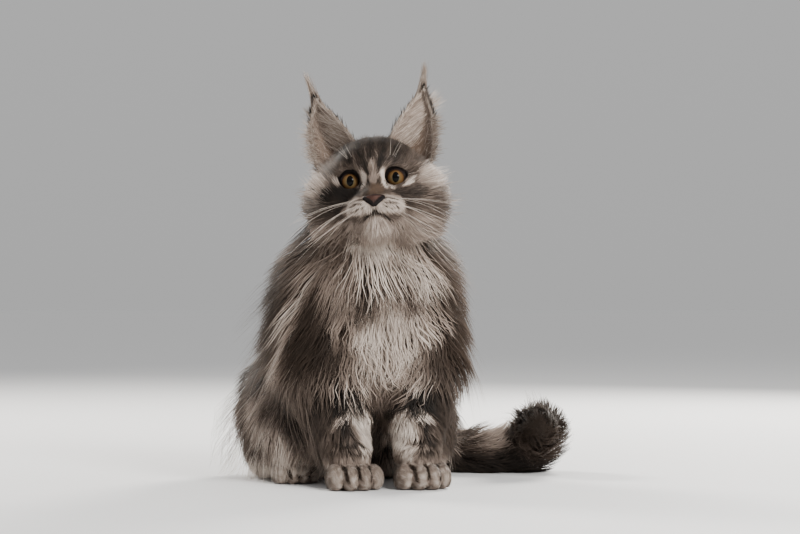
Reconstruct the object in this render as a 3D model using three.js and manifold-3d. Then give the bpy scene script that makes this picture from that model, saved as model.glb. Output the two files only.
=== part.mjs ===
// A sitting Maine Coon kitten as a still, life-size model, in millimetres with +Z up.
// Its chest faces -Y and its own left side is +X. The origin is on the floor, under its rump.
// The flesh is a set of rounded forms, each with the depth of the coat that grows over it. A node
// is a core, which fills half of that depth, and the locks of its coat, which lie out to the tips.

import * as THREE from "three";
import { mergeVertices } from "three/addons/utils/BufferGeometryUtils.js";
import Module from "manifold-3d";

const wasm = await Module();
wasm.setup();
const { Manifold, Mesh } = wasm;

// Driving dimensions

const GAP = 0.3; // left between neighbouring nodes
const CORE = 0.5; // share of the coat's depth that a core fills
const FAR = 150; // longer than any ray from a spine to the surface
const TURN = 2 * Math.PI;

const EYES_AT = [-11.5, -122, 245.5]; // middle of the line between the eyes
const HEAD_YAW = -22; // degrees: the face turns to the kitten's right
const HEAD_PITCH = -8.7; // the nose is raised
const HEAD_ROLL = -4.8; // the left ear is higher
const EYE_APART = 18.1; // from the face's middle to an eye's centre
const EYE_RADIUS = 9.3;
const EYE_FACETS = [14, 9]; // round an eye, and from its top to its foot
const LID_THICK = 1.7;
const EYE_OPENING = [8.3, 7]; // half the width and half the height between the lids

const PAW_APART = 27; // from the body's middle to a front paw's
const PAW_AT = -110; // how far forward the front paws stand
const LEFT_STEP = 9; // the left front paw stands this much further forward
const TOES = 4;

// Small tools

const at = (x, y, z) => new THREE.Vector3(x, y, z);
const mix = (a, b, k) => a + (b - a) * k;
const radians = THREE.MathUtils.degToRad;

// A seeded draw, so that the locks vary and every build is the same.
function drawFrom(seed) {
  let state = seed;
  return (low, high) => {
    state = (Math.imul(state, 1664525) + 1013904223) >>> 0;
    return mix(low, high, state / 2 ** 32);
  };
}

// A closed three.js geometry as a solid, with its faces turned to point out.
function solidOf(geometry) {
  for (const name of ["normal", "uv"]) geometry.deleteAttribute(name);
  const merged = mergeVertices(geometry, 1e-4);
  const corners = merged.index.array;
  const kept = [];
  for (let i = 0; i < corners.length; i += 3) {
    const [a, b, c] = corners.slice(i, i + 3);
    if (a !== b && b !== c && a !== c) kept.push(a, b, c);
  }
  const vertProperties = new Float32Array(merged.getAttribute("position").array);
  const meshOf = (order) => new Mesh({ numProp: 3, vertProperties, triVerts: new Uint32Array(order) });
  const made = new Manifold(meshOf(kept));
  if (made.volume() > 0) return made;
  return new Manifold(meshOf(kept.map((_, i) => kept[i - (i % 3) + 2 - (i % 3)])));
}

const joined = (solids) => Manifold.union(solids);

function largest(solid) {
  const pieces = solid.decompose();
  return pieces.reduce((best, piece) => (piece.volume() > best.volume() ? piece : best));
}

function moved(geometry, centre, radii = [1, 1, 1], turn = [0, 0, 0]) {
  geometry.scale(...radii);
  geometry.rotateX(radians(turn[0]));
  geometry.rotateY(radians(turn[1]));
  geometry.rotateZ(radians(turn[2]));
  return geometry.translate(...centre);
}

// Flesh: ovals, which may be tilted about X, and rods, which may taper

function oval(centre, radii, coat, tilt = 0) {
  const middle = at(...centre);
  const back = new THREE.Quaternion().setFromAxisAngle(at(1, 0, 0), -radians(tilt));
  const [a, b, c] = radii;
  return (p, share) => {
    const q = p.clone().sub(middle).applyQuaternion(back);
    const near = Math.hypot(q.x / a, q.y / b, q.z / c);
    const slope = Math.hypot(q.x / a ** 2, q.y / b ** 2, q.z / c ** 2);
    const depth = slope < 1e-6 ? -Math.min(a, b, c) : (near * (near - 1)) / slope;
    return depth - coat * share;
  };
}

function rod(from, to, radii, coats) {
  const start = at(...from);
  const span = at(...to).sub(start);
  return (p, share) => {
    const k = THREE.MathUtils.clamp(p.clone().sub(start).dot(span) / span.lengthSq(), 0, 1);
    const axis = start.clone().addScaledVector(span, k);
    return p.distanceTo(axis) - mix(...radii, k) - mix(...coats, k) * share;
  };
}

// How far p is outside the forms, blended into each other, with a share of their coat on them.
function outside(forms, p, share, soft) {
  return forms.reduce((nearest, form) => {
    const next = form(p, share);
    const meet = Math.max(soft - Math.abs(nearest - next), 0) / soft;
    return Math.min(nearest, next) - (meet * meet * soft) / 4;
  }, FAR);
}

// A limb is forms along a spine. Its surface is found on rays from the spine: s runs from 0 to 1
// along it, from 0 to -1 over the dome at its start and from 1 to 2 over the dome at its end.
class Limb {
  constructor(spine, forms, { side = at(1, 0, 0), soft = 14, placed = new THREE.Matrix4() } = {}) {
    this.curve = new THREE.CatmullRomCurve3(spine.map((p) => at(...p)), false, "centripetal");
    this.length = this.curve.getLength();
    this.placed = placed;
    Object.assign(this, { forms, side, soft });
  }

  ray(s, angle) {
    const u = THREE.MathUtils.clamp(s, 0, 1);
    const origin = this.curve.getPointAt(u);
    const along = this.curve.getTangentAt(u);
    const across = this.side.clone().addScaledVector(along, -this.side.dot(along)).normalize();
    const third = along.clone().cross(across);
    const lean = (s - u) * (Math.PI / 2);
    const out = across.multiplyScalar(Math.cos(angle)).addScaledVector(third, Math.sin(angle));
    out.multiplyScalar(Math.cos(lean)).addScaledVector(along, Math.sin(lean)).normalize();
    return { origin, out };
  }

  reach(origin, out, share, grow = 0) {
    let [low, high] = [0, FAR];
    for (let step = 0; step < 24; step++) {
      const middle = (low + high) / 2;
      const p = origin.clone().addScaledVector(out, middle);
      if (outside(this.forms, p, share, this.soft) < grow) low = middle;
      else high = middle;
    }
    return origin.clone().addScaledVector(out, low);
  }

  surface(s, angle, share = CORE, grow = 0) {
    const { origin, out } = this.ray(s, angle);
    return this.reach(origin, out, share, grow).applyMatrix4(this.placed);
  }

  // The surface point on the way from the spine's front end to a point near it.
  toward(p, share = CORE) {
    const origin = this.curve.getPointAt(1);
    return this.reach(origin, at(...p).sub(origin).normalize(), share).applyMatrix4(this.placed);
  }

  holds(p, depth = 0) {
    const inside = p.clone().applyMatrix4(this.placed.clone().invert());
    return outside(this.forms, inside, CORE, this.soft) < -depth;
  }

  // The core between two places on the spine, closed by flat ends, or by a pole at -1 and 2.
  core(from, to, { around, rings, grow }) {
    const more = grow / this.length;
    const first = from < 0 ? from : from - more;
    const last = to > 1 ? to : to + more;
    return wrapped(around, rings, (k, angle, rim) => {
      const s = mix(first, last, k);
      if (rim) return this.surface(s, angle, CORE, grow);
      return k < 0.5 ? this.end(first, grow) : this.end(last, grow);
    });
  }

  end(s, grow) {
    if (s <= -1 || s >= 2) return this.surface(s, 0, CORE, grow);
    return this.curve.getPointAt(THREE.MathUtils.clamp(s, 0, 1)).applyMatrix4(this.placed);
  }

  // A lock that leaves the core at (s, angle) and lies along the spine's way, out to its coat's tips.
  lock({ s, angle, length, sweep = 0, width, thick, root = 0.2, tip = 1, grow = 0 }) {
    const step = length / this.length;
    const lift = (k) => mix(root, tip, 1 - Math.abs(1 - k) ** LOCK.rise);
    return blade(width, thick, grow, (k) => ({
      centre: this.surface(s + step * k, angle + sweep * k, lift(k)),
      out: this.ray(s, angle).out.transformDirection(this.placed),
    }));
  }
}

// A cylinder whose rings are placed by a function of the way along and the angle round.
function wrapped(around, rings, place) {
  const cylinder = new THREE.CylinderGeometry(1, 1, 1, around, rings);
  const position = cylinder.getAttribute("position");
  for (let i = 0; i < position.count; i++) {
    const [x, y, z] = [position.getX(i), position.getY(i), position.getZ(i)];
    const along = Math.round((0.5 - y) * rings) / rings;
    const turn = ((Math.round((Math.atan2(z, x) / TURN) * around) + around) % around) / around;
    const placed = place(along, turn * TURN, Math.hypot(x, z) > 0.5);
    position.setXYZ(i, placed.x, placed.y, placed.z);
  }
  return solidOf(cylinder);
}

// A lock of hair: a flat blade with a low ridge, which bends along its path and tapers to a point.
const LOCK = {
  steps: 3,
  rise: 1.3, // how early it stands off the core
  thin: 0.3, // share of its thickness left towards the tip
  full: (k) => (1 - k) ** 0.8 * (0.7 + 1.2 * k), // its width, which is greatest below its middle
};
// Its edges are sharp, so it grows by more than the gap.
const FAT = { width: 1.2, thick: 4, tip: 2 };

function blade(width, thick, grow, path) {
  const cone = new THREE.ConeGeometry(1, 1, 3, LOCK.steps);
  const position = cone.getAttribute("position");
  const wide = grow > 0 ? width * FAT.width + grow : width;
  const high = thick + FAT.thick * grow;
  const point = path(1).centre.sub(path(1 - 1 / LOCK.steps).centre).normalize();
  for (let i = 0; i < position.count; i++) {
    const [x, y, z] = [position.getX(i), position.getY(i), position.getZ(i)];
    const k = Math.round((y + 0.5) * LOCK.steps) / LOCK.steps;
    const { centre, out } = path(k);
    const along = path(k + 0.02).centre.sub(path(k - 0.02).centre).normalize();
    if (k === 1 && grow > 0) centre.addScaledVector(point, FAT.tip);
    if (k < 1 && Math.hypot(x, z) > 0.1) {
      const side = along.clone().cross(out).normalize();
      const up = side.clone().cross(along);
      const corner = Math.round((Math.atan2(z, x) / TURN) * 3 + 3.25) % 3;
      const lean = [0, -1, 1][corner] * (wide / 2) * LOCK.full(k);
      const lift = (corner === 0 ? 0.5 : -0.5) * high * mix(1, LOCK.thin, k);
      centre.addScaledVector(side, lean).addScaledVector(up, lift);
    }
    position.setXYZ(i, centre.x, centre.y, centre.z);
  }
  return solidOf(cone);
}

// The head, in a frame of its own: the origin is between the eyes, and the face looks to -Y

const headPlace = new THREE.Matrix4()
  .makeTranslation(...EYES_AT)
  .multiply(new THREE.Matrix4().makeRotationZ(radians(HEAD_YAW)))
  .multiply(new THREE.Matrix4().makeRotationX(radians(HEAD_PITCH)))
  .multiply(new THREE.Matrix4().makeRotationY(radians(HEAD_ROLL)));

const pair = (make) => [make(-1), make(1)];

const head = new Limb(
  [[0, 34, 0], [0, 14, -6], [0, -6, -14]],
  [
    oval([0, 26, 6], [35, 36, 28], 5), // cranium
    oval([0, 2, 11], [26, 14, 15], 4), // brow
    ...pair((side) => oval([side * 22, 8, -15], [17, 17, 16], 4)), // cheeks
    ...pair((side) => oval([side * 30, 24, -16], [15, 20, 20], 16)), // the ruff behind them
    oval([0, 10, -31], [19, 22, 12], 12), // jaw
    oval([0, -10, -22], [15, 14, 11], 3), // muzzle
    ...pair((side) => oval([side * 10, -18.3, -27], [10, 8.7, 7.4], 2)), // whisker pads
    rod([0, -2, 3], [0, -22, -16], [8, 5], [2, 1]), // bridge of the nose
    oval([0, -14, -38], [8.5, 8, 6.5], 4), // chin
  ],
  { soft: 7, placed: headPlace },
);

const eyeCentre = (side) => at(side * EYE_APART, 0, 0).applyMatrix4(headPlace);

const eyeball = (side, radius) =>
  solidOf(moved(new THREE.SphereGeometry(radius, ...EYE_FACETS), eyeCentre(side).toArray()));

const eye = (side) => (grow) => eyeball(side, EYE_RADIUS + grow);

// The gap between the lids, as a short oval column through them.
function eyeOpening(side) {
  const column = new THREE.CylinderGeometry(1, 1, 2 * EYE_RADIUS, EYE_FACETS[0]);
  const [wide, high] = EYE_OPENING;
  moved(column, [side * EYE_APART, -10, 0], [wide, 1, high], [0, side * -10, side * 8]);
  return solidOf(column.applyMatrix4(headPlace));
}

const noseForms = new Limb(
  [[0, -26, -20.5], [0, -29, -21]],
  [
    oval([0, -28.5, -18.8], [7.4, 4, 3.1], 0),
    oval([0, -29.7, -22.8], [3.4, 3, 4.5], 0),
    ...pair((side) => oval([side * 5.8, -27.6, -20.4], [3.4, 3.2, 2.8], 0)), // nostril wings
  ],
  { soft: 2, placed: headPlace },
);

function nostril(side) {
  const dent = new THREE.SphereGeometry(1, 8, 6);
  moved(dent, [side * 5.2, -31, -21.2], [2.4, 2, 1.1], [0, side * 28, 0]);
  return solidOf(dent.applyMatrix4(headPlace));
}

function nose(grow) {
  const leather = noseForms.core(-1, 2, { around: 10, rings: 6, grow });
  return grow > 0 ? leather : leather.subtract(joined(pair(nostril)));
}

// The line of the mouth is a groove along the surface.
function groove(points, radius) {
  const line = new THREE.CatmullRomCurve3(points.map((p) => head.toward(p)));
  const section = new THREE.Shape().absarc(0, 0, radius, 0, TURN);
  const options = { steps: 5, extrudePath: line, curveSegments: 2 };
  return solidOf(new THREE.ExtrudeGeometry(section, options));
}

const mouth = () => [
  groove([[0, -30, -25], [0, -30, -29], [0, -28, -33.5]], 0.8),
  ...pair((side) =>
    groove([[0, -28, -33], [side * 5, -26, -35.5], [side * 11, -21, -36], [side * 17, -12, -33]], 0.9),
  ),
];

// Cheek ruff: locks that fan out below the ears and curl back and down round the jaw.
const CHEEK_ROWS = [
  { s: 0.8, length: 24, tip: 1.2 },
  { s: 0.3, length: 28, tip: 1.45 },
];
const CHEEK_LOCKS = 4;
const CHEEK_FAN = [-14, 76]; // degrees below level
const CHEEK_LOCK = { width: 22, thick: 7, root: 0.1 };

function cheekLocks(side, grow) {
  const draw = drawFrom(side > 0 ? 11 : 12);
  const locks = [];
  for (const { s, length, tip } of CHEEK_ROWS) {
    for (let i = 0; i < CHEEK_LOCKS; i++) {
      const down = radians(mix(...CHEEK_FAN, i / (CHEEK_LOCKS - 1)) + draw(-4, 4));
      const angle = side > 0 ? -down : Math.PI + down;
      const back = -length * draw(0.9, 1.15);
      locks.push(head.lock({ ...CHEEK_LOCK, s, angle, length: back, sweep: -side * 0.16, tip, grow }));
    }
  }
  return locks;
}

function headSolid(grow) {
  const skull = head.core(-1, 2, {
    around: 24,
    rings: 16,
    grow,
  });
  const lids = pair((side) => eyeball(side, EYE_RADIUS + LID_THICK + grow));
  const whole = joined([skull, ...lids, ...cheekLocks(-1, grow), ...cheekLocks(1, grow)]);
  return grow > 0 ? whole : whole.subtract(joined([...pair(eyeOpening), ...mouth()]));
}

// Ears: a bent sheet with a tuft at its tip and hair that crosses its opening

const EAR = {
  innerBase: [13, 21, 36], innerBulge: [25, 22, 60], tip: [43.5, 27, 75],
  outerBulge: [57, 31, 48], outerBase: [44, 33, 12], cup: 17, thick: 2.4,
  facets: [7, 6], top: 0.93, // the tuft goes on from the sheet's top
};
const TUFT = {
  length: 27, rightLean: 0.32, leftLean: 0.14, width: 8, thick: 4,
  roots: [[0.12, 0.7, 0.75], [0.5, 0.82, 1], [0.88, 0.66, 0.85]], // across, up, and share of the length
};
const FRINGE = { rows: [0.2, 0.4, 0.6], rootAcross: 0.78, lift: 0.4, past: 15, width: 6, thick: 2.6 };

function earPoint(side, u, v) {
  const edge = (base, bulge) => new THREE.QuadraticBezierCurve3(at(...base), at(...bulge), at(...EAR.tip));
  const inner = edge(EAR.innerBase, EAR.innerBulge).getPoint(v);
  const outer = edge(EAR.outerBase, EAR.outerBulge).getPoint(v);
  const bent = Math.sin(Math.PI * u) * EAR.cup * (1 - v) ** 0.75;
  const p = inner.lerp(outer, u).add(at(0.1 * bent, bent, 0));
  return at(side * p.x, p.y, p.z);
}

function earFrame(side, u, v) {
  const centre = earPoint(side, u, v);
  const across = earPoint(side, u + 0.01, v).sub(earPoint(side, u - 0.01, v));
  const up = earPoint(side, u, Math.min(v + 0.01, 1)).sub(earPoint(side, u, v - 0.01));
  const front = up.cross(across).normalize().multiplyScalar(side);
  return { centre, front };
}

// The tuft's locks leave the ear's rim below its tip and run together to a point above it.
function earTuft(side, grow) {
  const tip = at(side * EAR.tip[0], EAR.tip[1], EAR.tip[2]);
  const lean = side > 0 ? TUFT.leftLean : TUFT.rightLean;
  const end = tip.clone().add(at(side * lean * TUFT.length, 1, TUFT.length));
  return TUFT.roots.map(([u, v, reach]) => {
    const last = tip.clone().lerp(end, reach).add(at(side * (u - 0.5) * 3, 0, 0));
    const curve = new THREE.QuadraticBezierCurve3(earPoint(side, u, v), tip, last);
    return blade(TUFT.width, TUFT.thick, grow, (k) => headPath(curve, k));
  });
}

// Long hairs grow inside the ear and fan out past its outer edge.
function earFringe(side, grow) {
  const draw = drawFrom(side > 0 ? 21 : 22);
  return FRINGE.rows.map((v) => {
    const { centre, front } = earFrame(side, FRINGE.rootAcross, v);
    const start = centre.addScaledVector(front, FRINGE.lift);
    const edge = earPoint(side, 1, v + 0.1);
    const way = at(side * FRINGE.past, 3, FRINGE.past * mix(-0.1, 1, v) * draw(0.7, 1.2));
    const end = edge.clone().addScaledVector(way, draw(0.9, 1.15));
    const curve = new THREE.QuadraticBezierCurve3(start, edge.addScaledVector(front, FRINGE.lift), end);
    return blade(FRINGE.width, FRINGE.thick, grow, (k) => headPath(curve, k));
  });
}

function headPath(curve, k) {
  const u = THREE.MathUtils.clamp(k, 0, 1);
  const centre = curve.getPoint(u).addScaledVector(curve.getTangent(u), (k - u) * curve.getLength());
  const out = at(0, -1, 0.2).normalize().transformDirection(headPlace);
  return { centre: centre.applyMatrix4(headPlace), out };
}

const ear = (side) => (grow) => {
  const sheet = new THREE.BoxGeometry(1, 1, 1, ...EAR.facets, 1);
  const position = sheet.getAttribute("position");
  const more = grow / 20; // the sheet is more than 20 mm wide, up to near its top
  for (let i = 0; i < position.count; i++) {
    const u = mix(-more, 1 + more, position.getX(i) + 0.5);
    const v = mix(-more, EAR.top + more, position.getY(i) + 0.5);
    const { centre, front } = earFrame(side, u, v);
    const half = (EAR.thick / 2 + grow) * mix(1.2, 0.8, v);
    centre.addScaledVector(front, position.getZ(i) > 0 ? half : -half).applyMatrix4(headPlace);
    position.setXYZ(i, centre.x, centre.y, centre.z);
  }
  return joined([solidOf(sheet), ...earTuft(side, grow), ...earFringe(side, grow)]);
};

// The trunk: neck, chest, back and rump share one spine, from the nape down to the floor

const trunk = new Limb(
  [[-6, -84, 226], [-1, -76, 186], [0, -64, 150], [0, -44, 112], [0, -16, 74], [0, 10, 44], [0, 22, 26]],
  [
    oval([-3, -80, 202], [31, 27, 32], 35, 12), // neck
    oval([2, -66, 154], [43, 30, 36], 40, 20), // shoulders
    oval([0, -46, 116], [46, 40, 54], 38, 30), // ribs
    oval([0, -14, 78], [44, 38, 44], 36, 34), // loin
    oval([0, 14, 40], [42, 36, 36], 30, 30), // pelvis
    oval([0, 18, 14], [34, 30, 14], 16), // the seat on the floor
  ],
);

// Forelegs, from the shoulder to the wrist, and paws with four toes

const foreStep = (side) => (side > 0 ? -LEFT_STEP : 0);

const forelegs = pair((side) => {
  const step = foreStep(side);
  const elbow = [side * 35, -78, 92];
  const wrist = [side * (PAW_APART + 1), PAW_AT + 5 + step, 28];
  const shoulder = [[side * 34, -74, 142], [side * 36, -76, 112]];
  const spine = [...shoulder, elbow, [side * 31, -92 + step / 2, 58], wrist];
  const forms = [
    rod([side * 34, -72, 144], elbow, [18, 16], [36, 34]),
    rod(elbow, wrist, [14.5, 11], [22, 8]),
    rod(wrist, [side * PAW_APART, PAW_AT + step, 14], [11, 11], [6, 3]),
  ];
  return new Limb(spine, forms, { soft: 8 });
});

// A foot is its sole and four toes. The two middle toes reach further forward.
function foot({ sole, toes, toeRadii, spread, forward, turn }) {
  return (grow) => {
    const [x, y, z] = toes;
    const pieces = [sole(grow)];
    for (let i = 0; i < TOES; i++) {
      const offset = (i - (TOES - 1) / 2) * spread;
      const ahead = i === 0 || i === TOES - 1 ? 0 : -forward;
      const centre = [x + offset, y + ahead + offset * Math.tan(radians(turn)), z];
      const toe = new THREE.SphereGeometry(1, 8, 5);
      pieces.push(solidOf(moved(toe, centre, toeRadii.map((r) => r + grow), [8, 0, turn + offset * -0.8])));
    }
    return joined(pieces);
  };
}

const forepaw = (side) => {
  const y = PAW_AT + foreStep(side);
  const sole = new Limb(
    [[side * PAW_APART, y + 4, 24], [side * PAW_APART, y - 1, 8]],
    [
      oval([side * PAW_APART, y - 1, 12], [17.5, 15, 14], 2),
      oval([side * PAW_APART, y + 4, 22], [11, 11, 12], 3),
    ],
    { soft: 5 },
  );
  return foot({
    sole: (grow) => sole.core(-0.2, 2, { around: 12, rings: 4, grow }),
    toes: [side * PAW_APART, y - 11, 9.4], toeRadii: [6.7, 11.5, 10.2], spread: 10.2, forward: 6, turn: 0,
  });
};

// Hind legs: the folded thigh, and the long foot that lies on the floor beside it

const thighs = pair((side) => {
  const spine = [[side * 38, 0, 84], [side * 46, -6, 54], [side * 50, -12, 14]];
  const forms = [
    oval([side * 43, -6, 56], [24, 44, 40], 26, 12),
    oval([side * 52, -38, 46], [15, 19, 20], 19), // knee
    oval([side * 43, 14, 28], [19, 28, 24], 18), // buttock
  ];
  return new Limb(spine, forms, { soft: 12 });
});

const hindfoot = (side) => {
  const toes = [side * 55, -48, 8.6];
  const bone = new Limb(
    [[side * 48, 22, 12], [side * 54, -40, 9]],
    [rod([side * 48, 26, 11], [side * 54, -38, 9], [11, 12], [6, 3])],
    { soft: 4 },
  );
  return foot({
    sole: (grow) => bone.core(0.3, 2, { around: 8, rings: 4, grow }),
    toes, toeRadii: [6.1, 11, 9.3], spread: 8.6, forward: 5, turn: side * -7,
  });
};

// The tail comes out behind the rump, lies round the left side and curls up at its end

const TAIL_PATH = [
  [0, 34, 20], [22, 58, 16], [56, 60, 15], [92, 36, 15], [126, 12, 15],
  [151, 0, 16], [167, -4, 21], [173, -12, 31], [169, -22, 37], [164, -32, 39],
];
const TAIL_FORMS = TAIL_PATH.slice(1).map((p, i) => {
  const thick = (k) => mix(9.5, 6, k / (TAIL_PATH.length - 1));
  const coat = (k) => mix(17, 20, k / (TAIL_PATH.length - 1));
  return rod(TAIL_PATH[i], p, [thick(i), thick(i + 1)], [coat(i), coat(i + 1)]);
});
const tail = new Limb(TAIL_PATH, TAIL_FORMS, { side: at(0, 0, 1), soft: 5 });
const tailEnd = new Limb([[170, -6, 25], [170, -16, 31], [165, -28, 37]], TAIL_FORMS.slice(-4), { soft: 5 });

// Rows of locks round a limb. Each row is shifted by half a lock against the row above it.
function rowsOf(limb, { rows, across, seed, length, width, thick, keep = () => true, tip = 1, grow }) {
  const draw = drawFrom(seed);
  const locks = [];
  rows.forEach((row, n) => {
    for (let i = 0; i < across; i++) {
      const angle = ((i + (n % 2) / 2 + draw(-0.12, 0.12)) / across) * TURN;
      const s = row + draw(-0.3, 0.3) * (12 / limb.length);
      const [long, wide, end] = [length * draw(0.85, 1.15), width * draw(0.9, 1.1), tip * draw(0.92, 1.08)];
      const sweep = draw(-0.12, 0.12);
      if (!keep(s, angle, limb.surface(s, angle))) continue;
      locks.push(limb.lock({ s, angle, length: long, width: wide, thick, tip: end, sweep, grow }));
    }
  });
  return locks;
}

const evenly = (from, to, count) =>
  Array.from({ length: count }, (_, i) => mix(from, to, (i + 0.5) / count));
const facing = (angle, towards) => Math.cos(angle - radians(towards));
const outward = (side, angle) => facing(angle, side > 0 ? 0 : 180);
const coveredBy = (limbs, p, depth = 2) => limbs.some((limb) => limb.holds(p, depth));

const node = (limb, from, to, core, locks) => (grow) =>
  joined([limb.core(from, to, { ...core, grow }), ...locks(grow)]);

const FRONT = 90; // the angle round the trunk that faces forward, with the back at -90
const outerLimbs = [...forelegs, ...thighs];

const neck = node(trunk, -0.6, 0.27, { around: 20, rings: 5 }, (grow) =>
  rowsOf(trunk, {
    rows: [-0.1, 0.12], across: 9, seed: 31, length: 60, width: 40, thick: 11, tip: 1.1, grow,
  }),
);

const chest = node(trunk, 0.25, 0.52, { around: 20, rings: 4 }, (grow) =>
  rowsOf(trunk, {
    rows: [0.3, 0.43], across: 12, seed: 32, length: 60, width: 36, thick: 11, tip: 1.2, grow,
    keep: (s, angle, p) => !coveredBy(outerLimbs, p),
  }),
);

const back = node(trunk, 0.5, 0.77, { around: 20, rings: 4 }, (grow) =>
  rowsOf(trunk, {
    rows: [0.56, 0.7], across: 11, seed: 33, length: 56, width: 36, thick: 11, tip: 1.15, grow,
    keep: (s, angle, p) => facing(angle, FRONT) < 0.3 && !coveredBy(outerLimbs, p),
  }),
);

const rump = node(trunk, 0.75, 2, { around: 20, rings: 7 }, (grow) =>
  rowsOf(trunk, {
    rows: [0.83, 0.97], across: 11, seed: 34, length: 42, width: 34, thick: 10, tip: 1.1, grow,
    keep: (s, angle, p) => facing(angle, FRONT) < -0.2 && !coveredBy(outerLimbs, p),
  }),
);

const foreleg = (side, i) =>
  node(forelegs[i], -0.7, 1, { around: 14, rings: 8 }, (grow) =>
    rowsOf(forelegs[i], {
      rows: evenly(0.08, 0.8, 3), across: 6, seed: 41 + i, length: 46, width: 30, thick: 9, tip: 1.2,
      keep: (s, angle, p) => !trunk.holds(p, 1) && outward(side, angle) > -0.35, grow,
    }),
  );

const thigh = (side, i) =>
  node(thighs[i], -1, 2, { around: 18, rings: 9 }, (grow) =>
    rowsOf(thighs[i], {
      rows: evenly(-0.45, 0.75, 3), across: 7, seed: 51 + i, length: 48, width: 38, thick: 10, tip: 1.15,
      keep: (s, angle, p) => !trunk.holds(p, 1) && outward(side, angle) > -0.3 && p.z > 22, grow,
    }),
  );

const tailNode = (limb, from, to, rings, rows, seed, length = 36) =>
  node(limb, from, to, { around: 10, rings }, (grow) =>
    rowsOf(limb, {
      rows, across: 5, seed, length, width: 25, thick: 8, grow,
      keep: (s, angle, p) => !coveredBy([trunk, ...thighs], p) && p.z > 5,
    }),
  );

// Nodes, in the order of their layers: each one is cut clear of those before it

const SLATE = "#6f6a68";
const SILVER = "#a39b94";
const CREAM = "#cdc4ba";
const finish = (color, roughness = 0.9) =>
  new THREE.MeshStandardMaterial({ color, roughness, metalness: 0 });

const layers = [
  ["eye_right", "#a8722f", eye(-1), 0.1],
  ["eye_left", "#a8722f", eye(1), 0.1],
  ["nose", "#7b4c43", nose, 0.5],
  ["head", SILVER, headSolid],
  ["ear_right", "#bba69b", ear(-1)],
  ["ear_left", "#bba69b", ear(1)],
  ["neck", SILVER, neck],
  ["chest", CREAM, chest],
  ["back", SLATE, back],
  ["foreleg_right", SILVER, foreleg(-1, 0)],
  ["foreleg_left", SILVER, foreleg(1, 1)],
  ["forepaw_right", CREAM, forepaw(-1)],
  ["forepaw_left", CREAM, forepaw(1)],
  ["rump", SLATE, rump],
  ["thigh_right", SILVER, thigh(-1, 0)],
  ["thigh_left", SILVER, thigh(1, 1)],
  ["hindfoot_right", CREAM, hindfoot(-1)],
  ["hindfoot_left", CREAM, hindfoot(1)],
  ["tail_root", SILVER, tailNode(tail, 0.02, 0.36, 6, [0.2, 0.29], 61)],
  ["tail_middle", SILVER, tailNode(tail, 0.35, 0.6, 4, [0.43, 0.55], 62)],
  ["tail_bend", SLATE, tailNode(tail, 0.59, 0.8, 4, [0.63, 0.7], 63, 30)],
  ["tail_tip", SLATE, tailNode(tailEnd, -1, 2, 7, [0.4], 64, 30)],
];

// Everything stands on one level: what lies below it is cut off.
const below = solidOf(new THREE.BoxGeometry(900, 900, 100).translate(0, 0, -50));

const near = (a, b) => {
  const [one, two] = [a.boundingBox(), b.boundingBox()];
  return [0, 1, 2].every((i) => one.min[i] < two.max[i] && two.min[i] < one.max[i]);
};

const kitten = new THREE.Group();
const before = [];
for (const [name, color, make, roughness] of layers) {
  const whole = make(0);
  const cuts = [below, ...before.filter((solid) => near(solid, whole))];
  const solid = largest(whole.subtract(joined(cuts)));
  before.push(make(GAP));
  const { vertProperties, triVerts } = solid.getMesh();
  const geometry = new THREE.BufferGeometry()
    .setAttribute("position", new THREE.BufferAttribute(vertProperties, 3))
    .setIndex(new THREE.BufferAttribute(triVerts, 1));
  const mesh = new THREE.Mesh(geometry, finish(color, roughness));
  mesh.name = name;
  kitten.add(mesh);
}

export default kitten;
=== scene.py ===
"""A sitting Maine Coon kitten: one skin, a coat of mesh tufts over it, eyes and lids, nose and whiskers."""

import math

import bmesh
import bpy
import numpy as np
from mathutils import Matrix, Vector


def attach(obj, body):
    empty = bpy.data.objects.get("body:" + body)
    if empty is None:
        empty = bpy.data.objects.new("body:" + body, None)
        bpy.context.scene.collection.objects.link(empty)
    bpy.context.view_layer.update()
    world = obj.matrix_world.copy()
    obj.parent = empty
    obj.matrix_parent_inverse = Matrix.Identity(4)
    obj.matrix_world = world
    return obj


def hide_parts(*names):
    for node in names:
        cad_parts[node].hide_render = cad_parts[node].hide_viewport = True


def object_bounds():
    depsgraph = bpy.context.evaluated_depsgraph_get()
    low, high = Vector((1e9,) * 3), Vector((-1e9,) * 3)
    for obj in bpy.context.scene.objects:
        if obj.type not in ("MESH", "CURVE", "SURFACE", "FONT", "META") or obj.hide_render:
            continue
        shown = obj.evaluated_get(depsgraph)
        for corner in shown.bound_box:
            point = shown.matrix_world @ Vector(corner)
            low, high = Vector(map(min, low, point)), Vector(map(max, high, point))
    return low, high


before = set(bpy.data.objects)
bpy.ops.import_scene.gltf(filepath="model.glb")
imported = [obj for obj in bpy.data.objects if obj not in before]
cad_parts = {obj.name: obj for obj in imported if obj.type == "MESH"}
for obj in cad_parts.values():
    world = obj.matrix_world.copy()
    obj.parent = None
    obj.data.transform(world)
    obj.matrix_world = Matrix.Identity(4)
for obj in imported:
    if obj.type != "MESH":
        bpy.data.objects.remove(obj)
cad_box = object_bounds()

# Lengths are in millimetres, as in the CAD, until a mesh is made.

MM = 0.001
SKIN = 0.2  # share of the coat's depth at which the skin lies
JOIN = 7  # how softly one limb runs into the next
CELL = 3.4  # of the net that the skin is drawn from

EYES_AT = np.array([-11.5, -122, 245.5])  # middle of the line between the eyes
HEAD_YAW, HEAD_PITCH, HEAD_ROLL = -22, -8.7, -4.8
EYE_APART = 18.1
EYE_RADIUS = 9.3
EYE_OPENING = (8.0, 7.1)
FACE_MIDDLE = 1.3  # how far the nose and mouth lie to the kitten's left of the eyes' middle
SIDES = (-1, 1)  # the kitten's right and left


def array(*values):
    return np.array(values, float)


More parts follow.
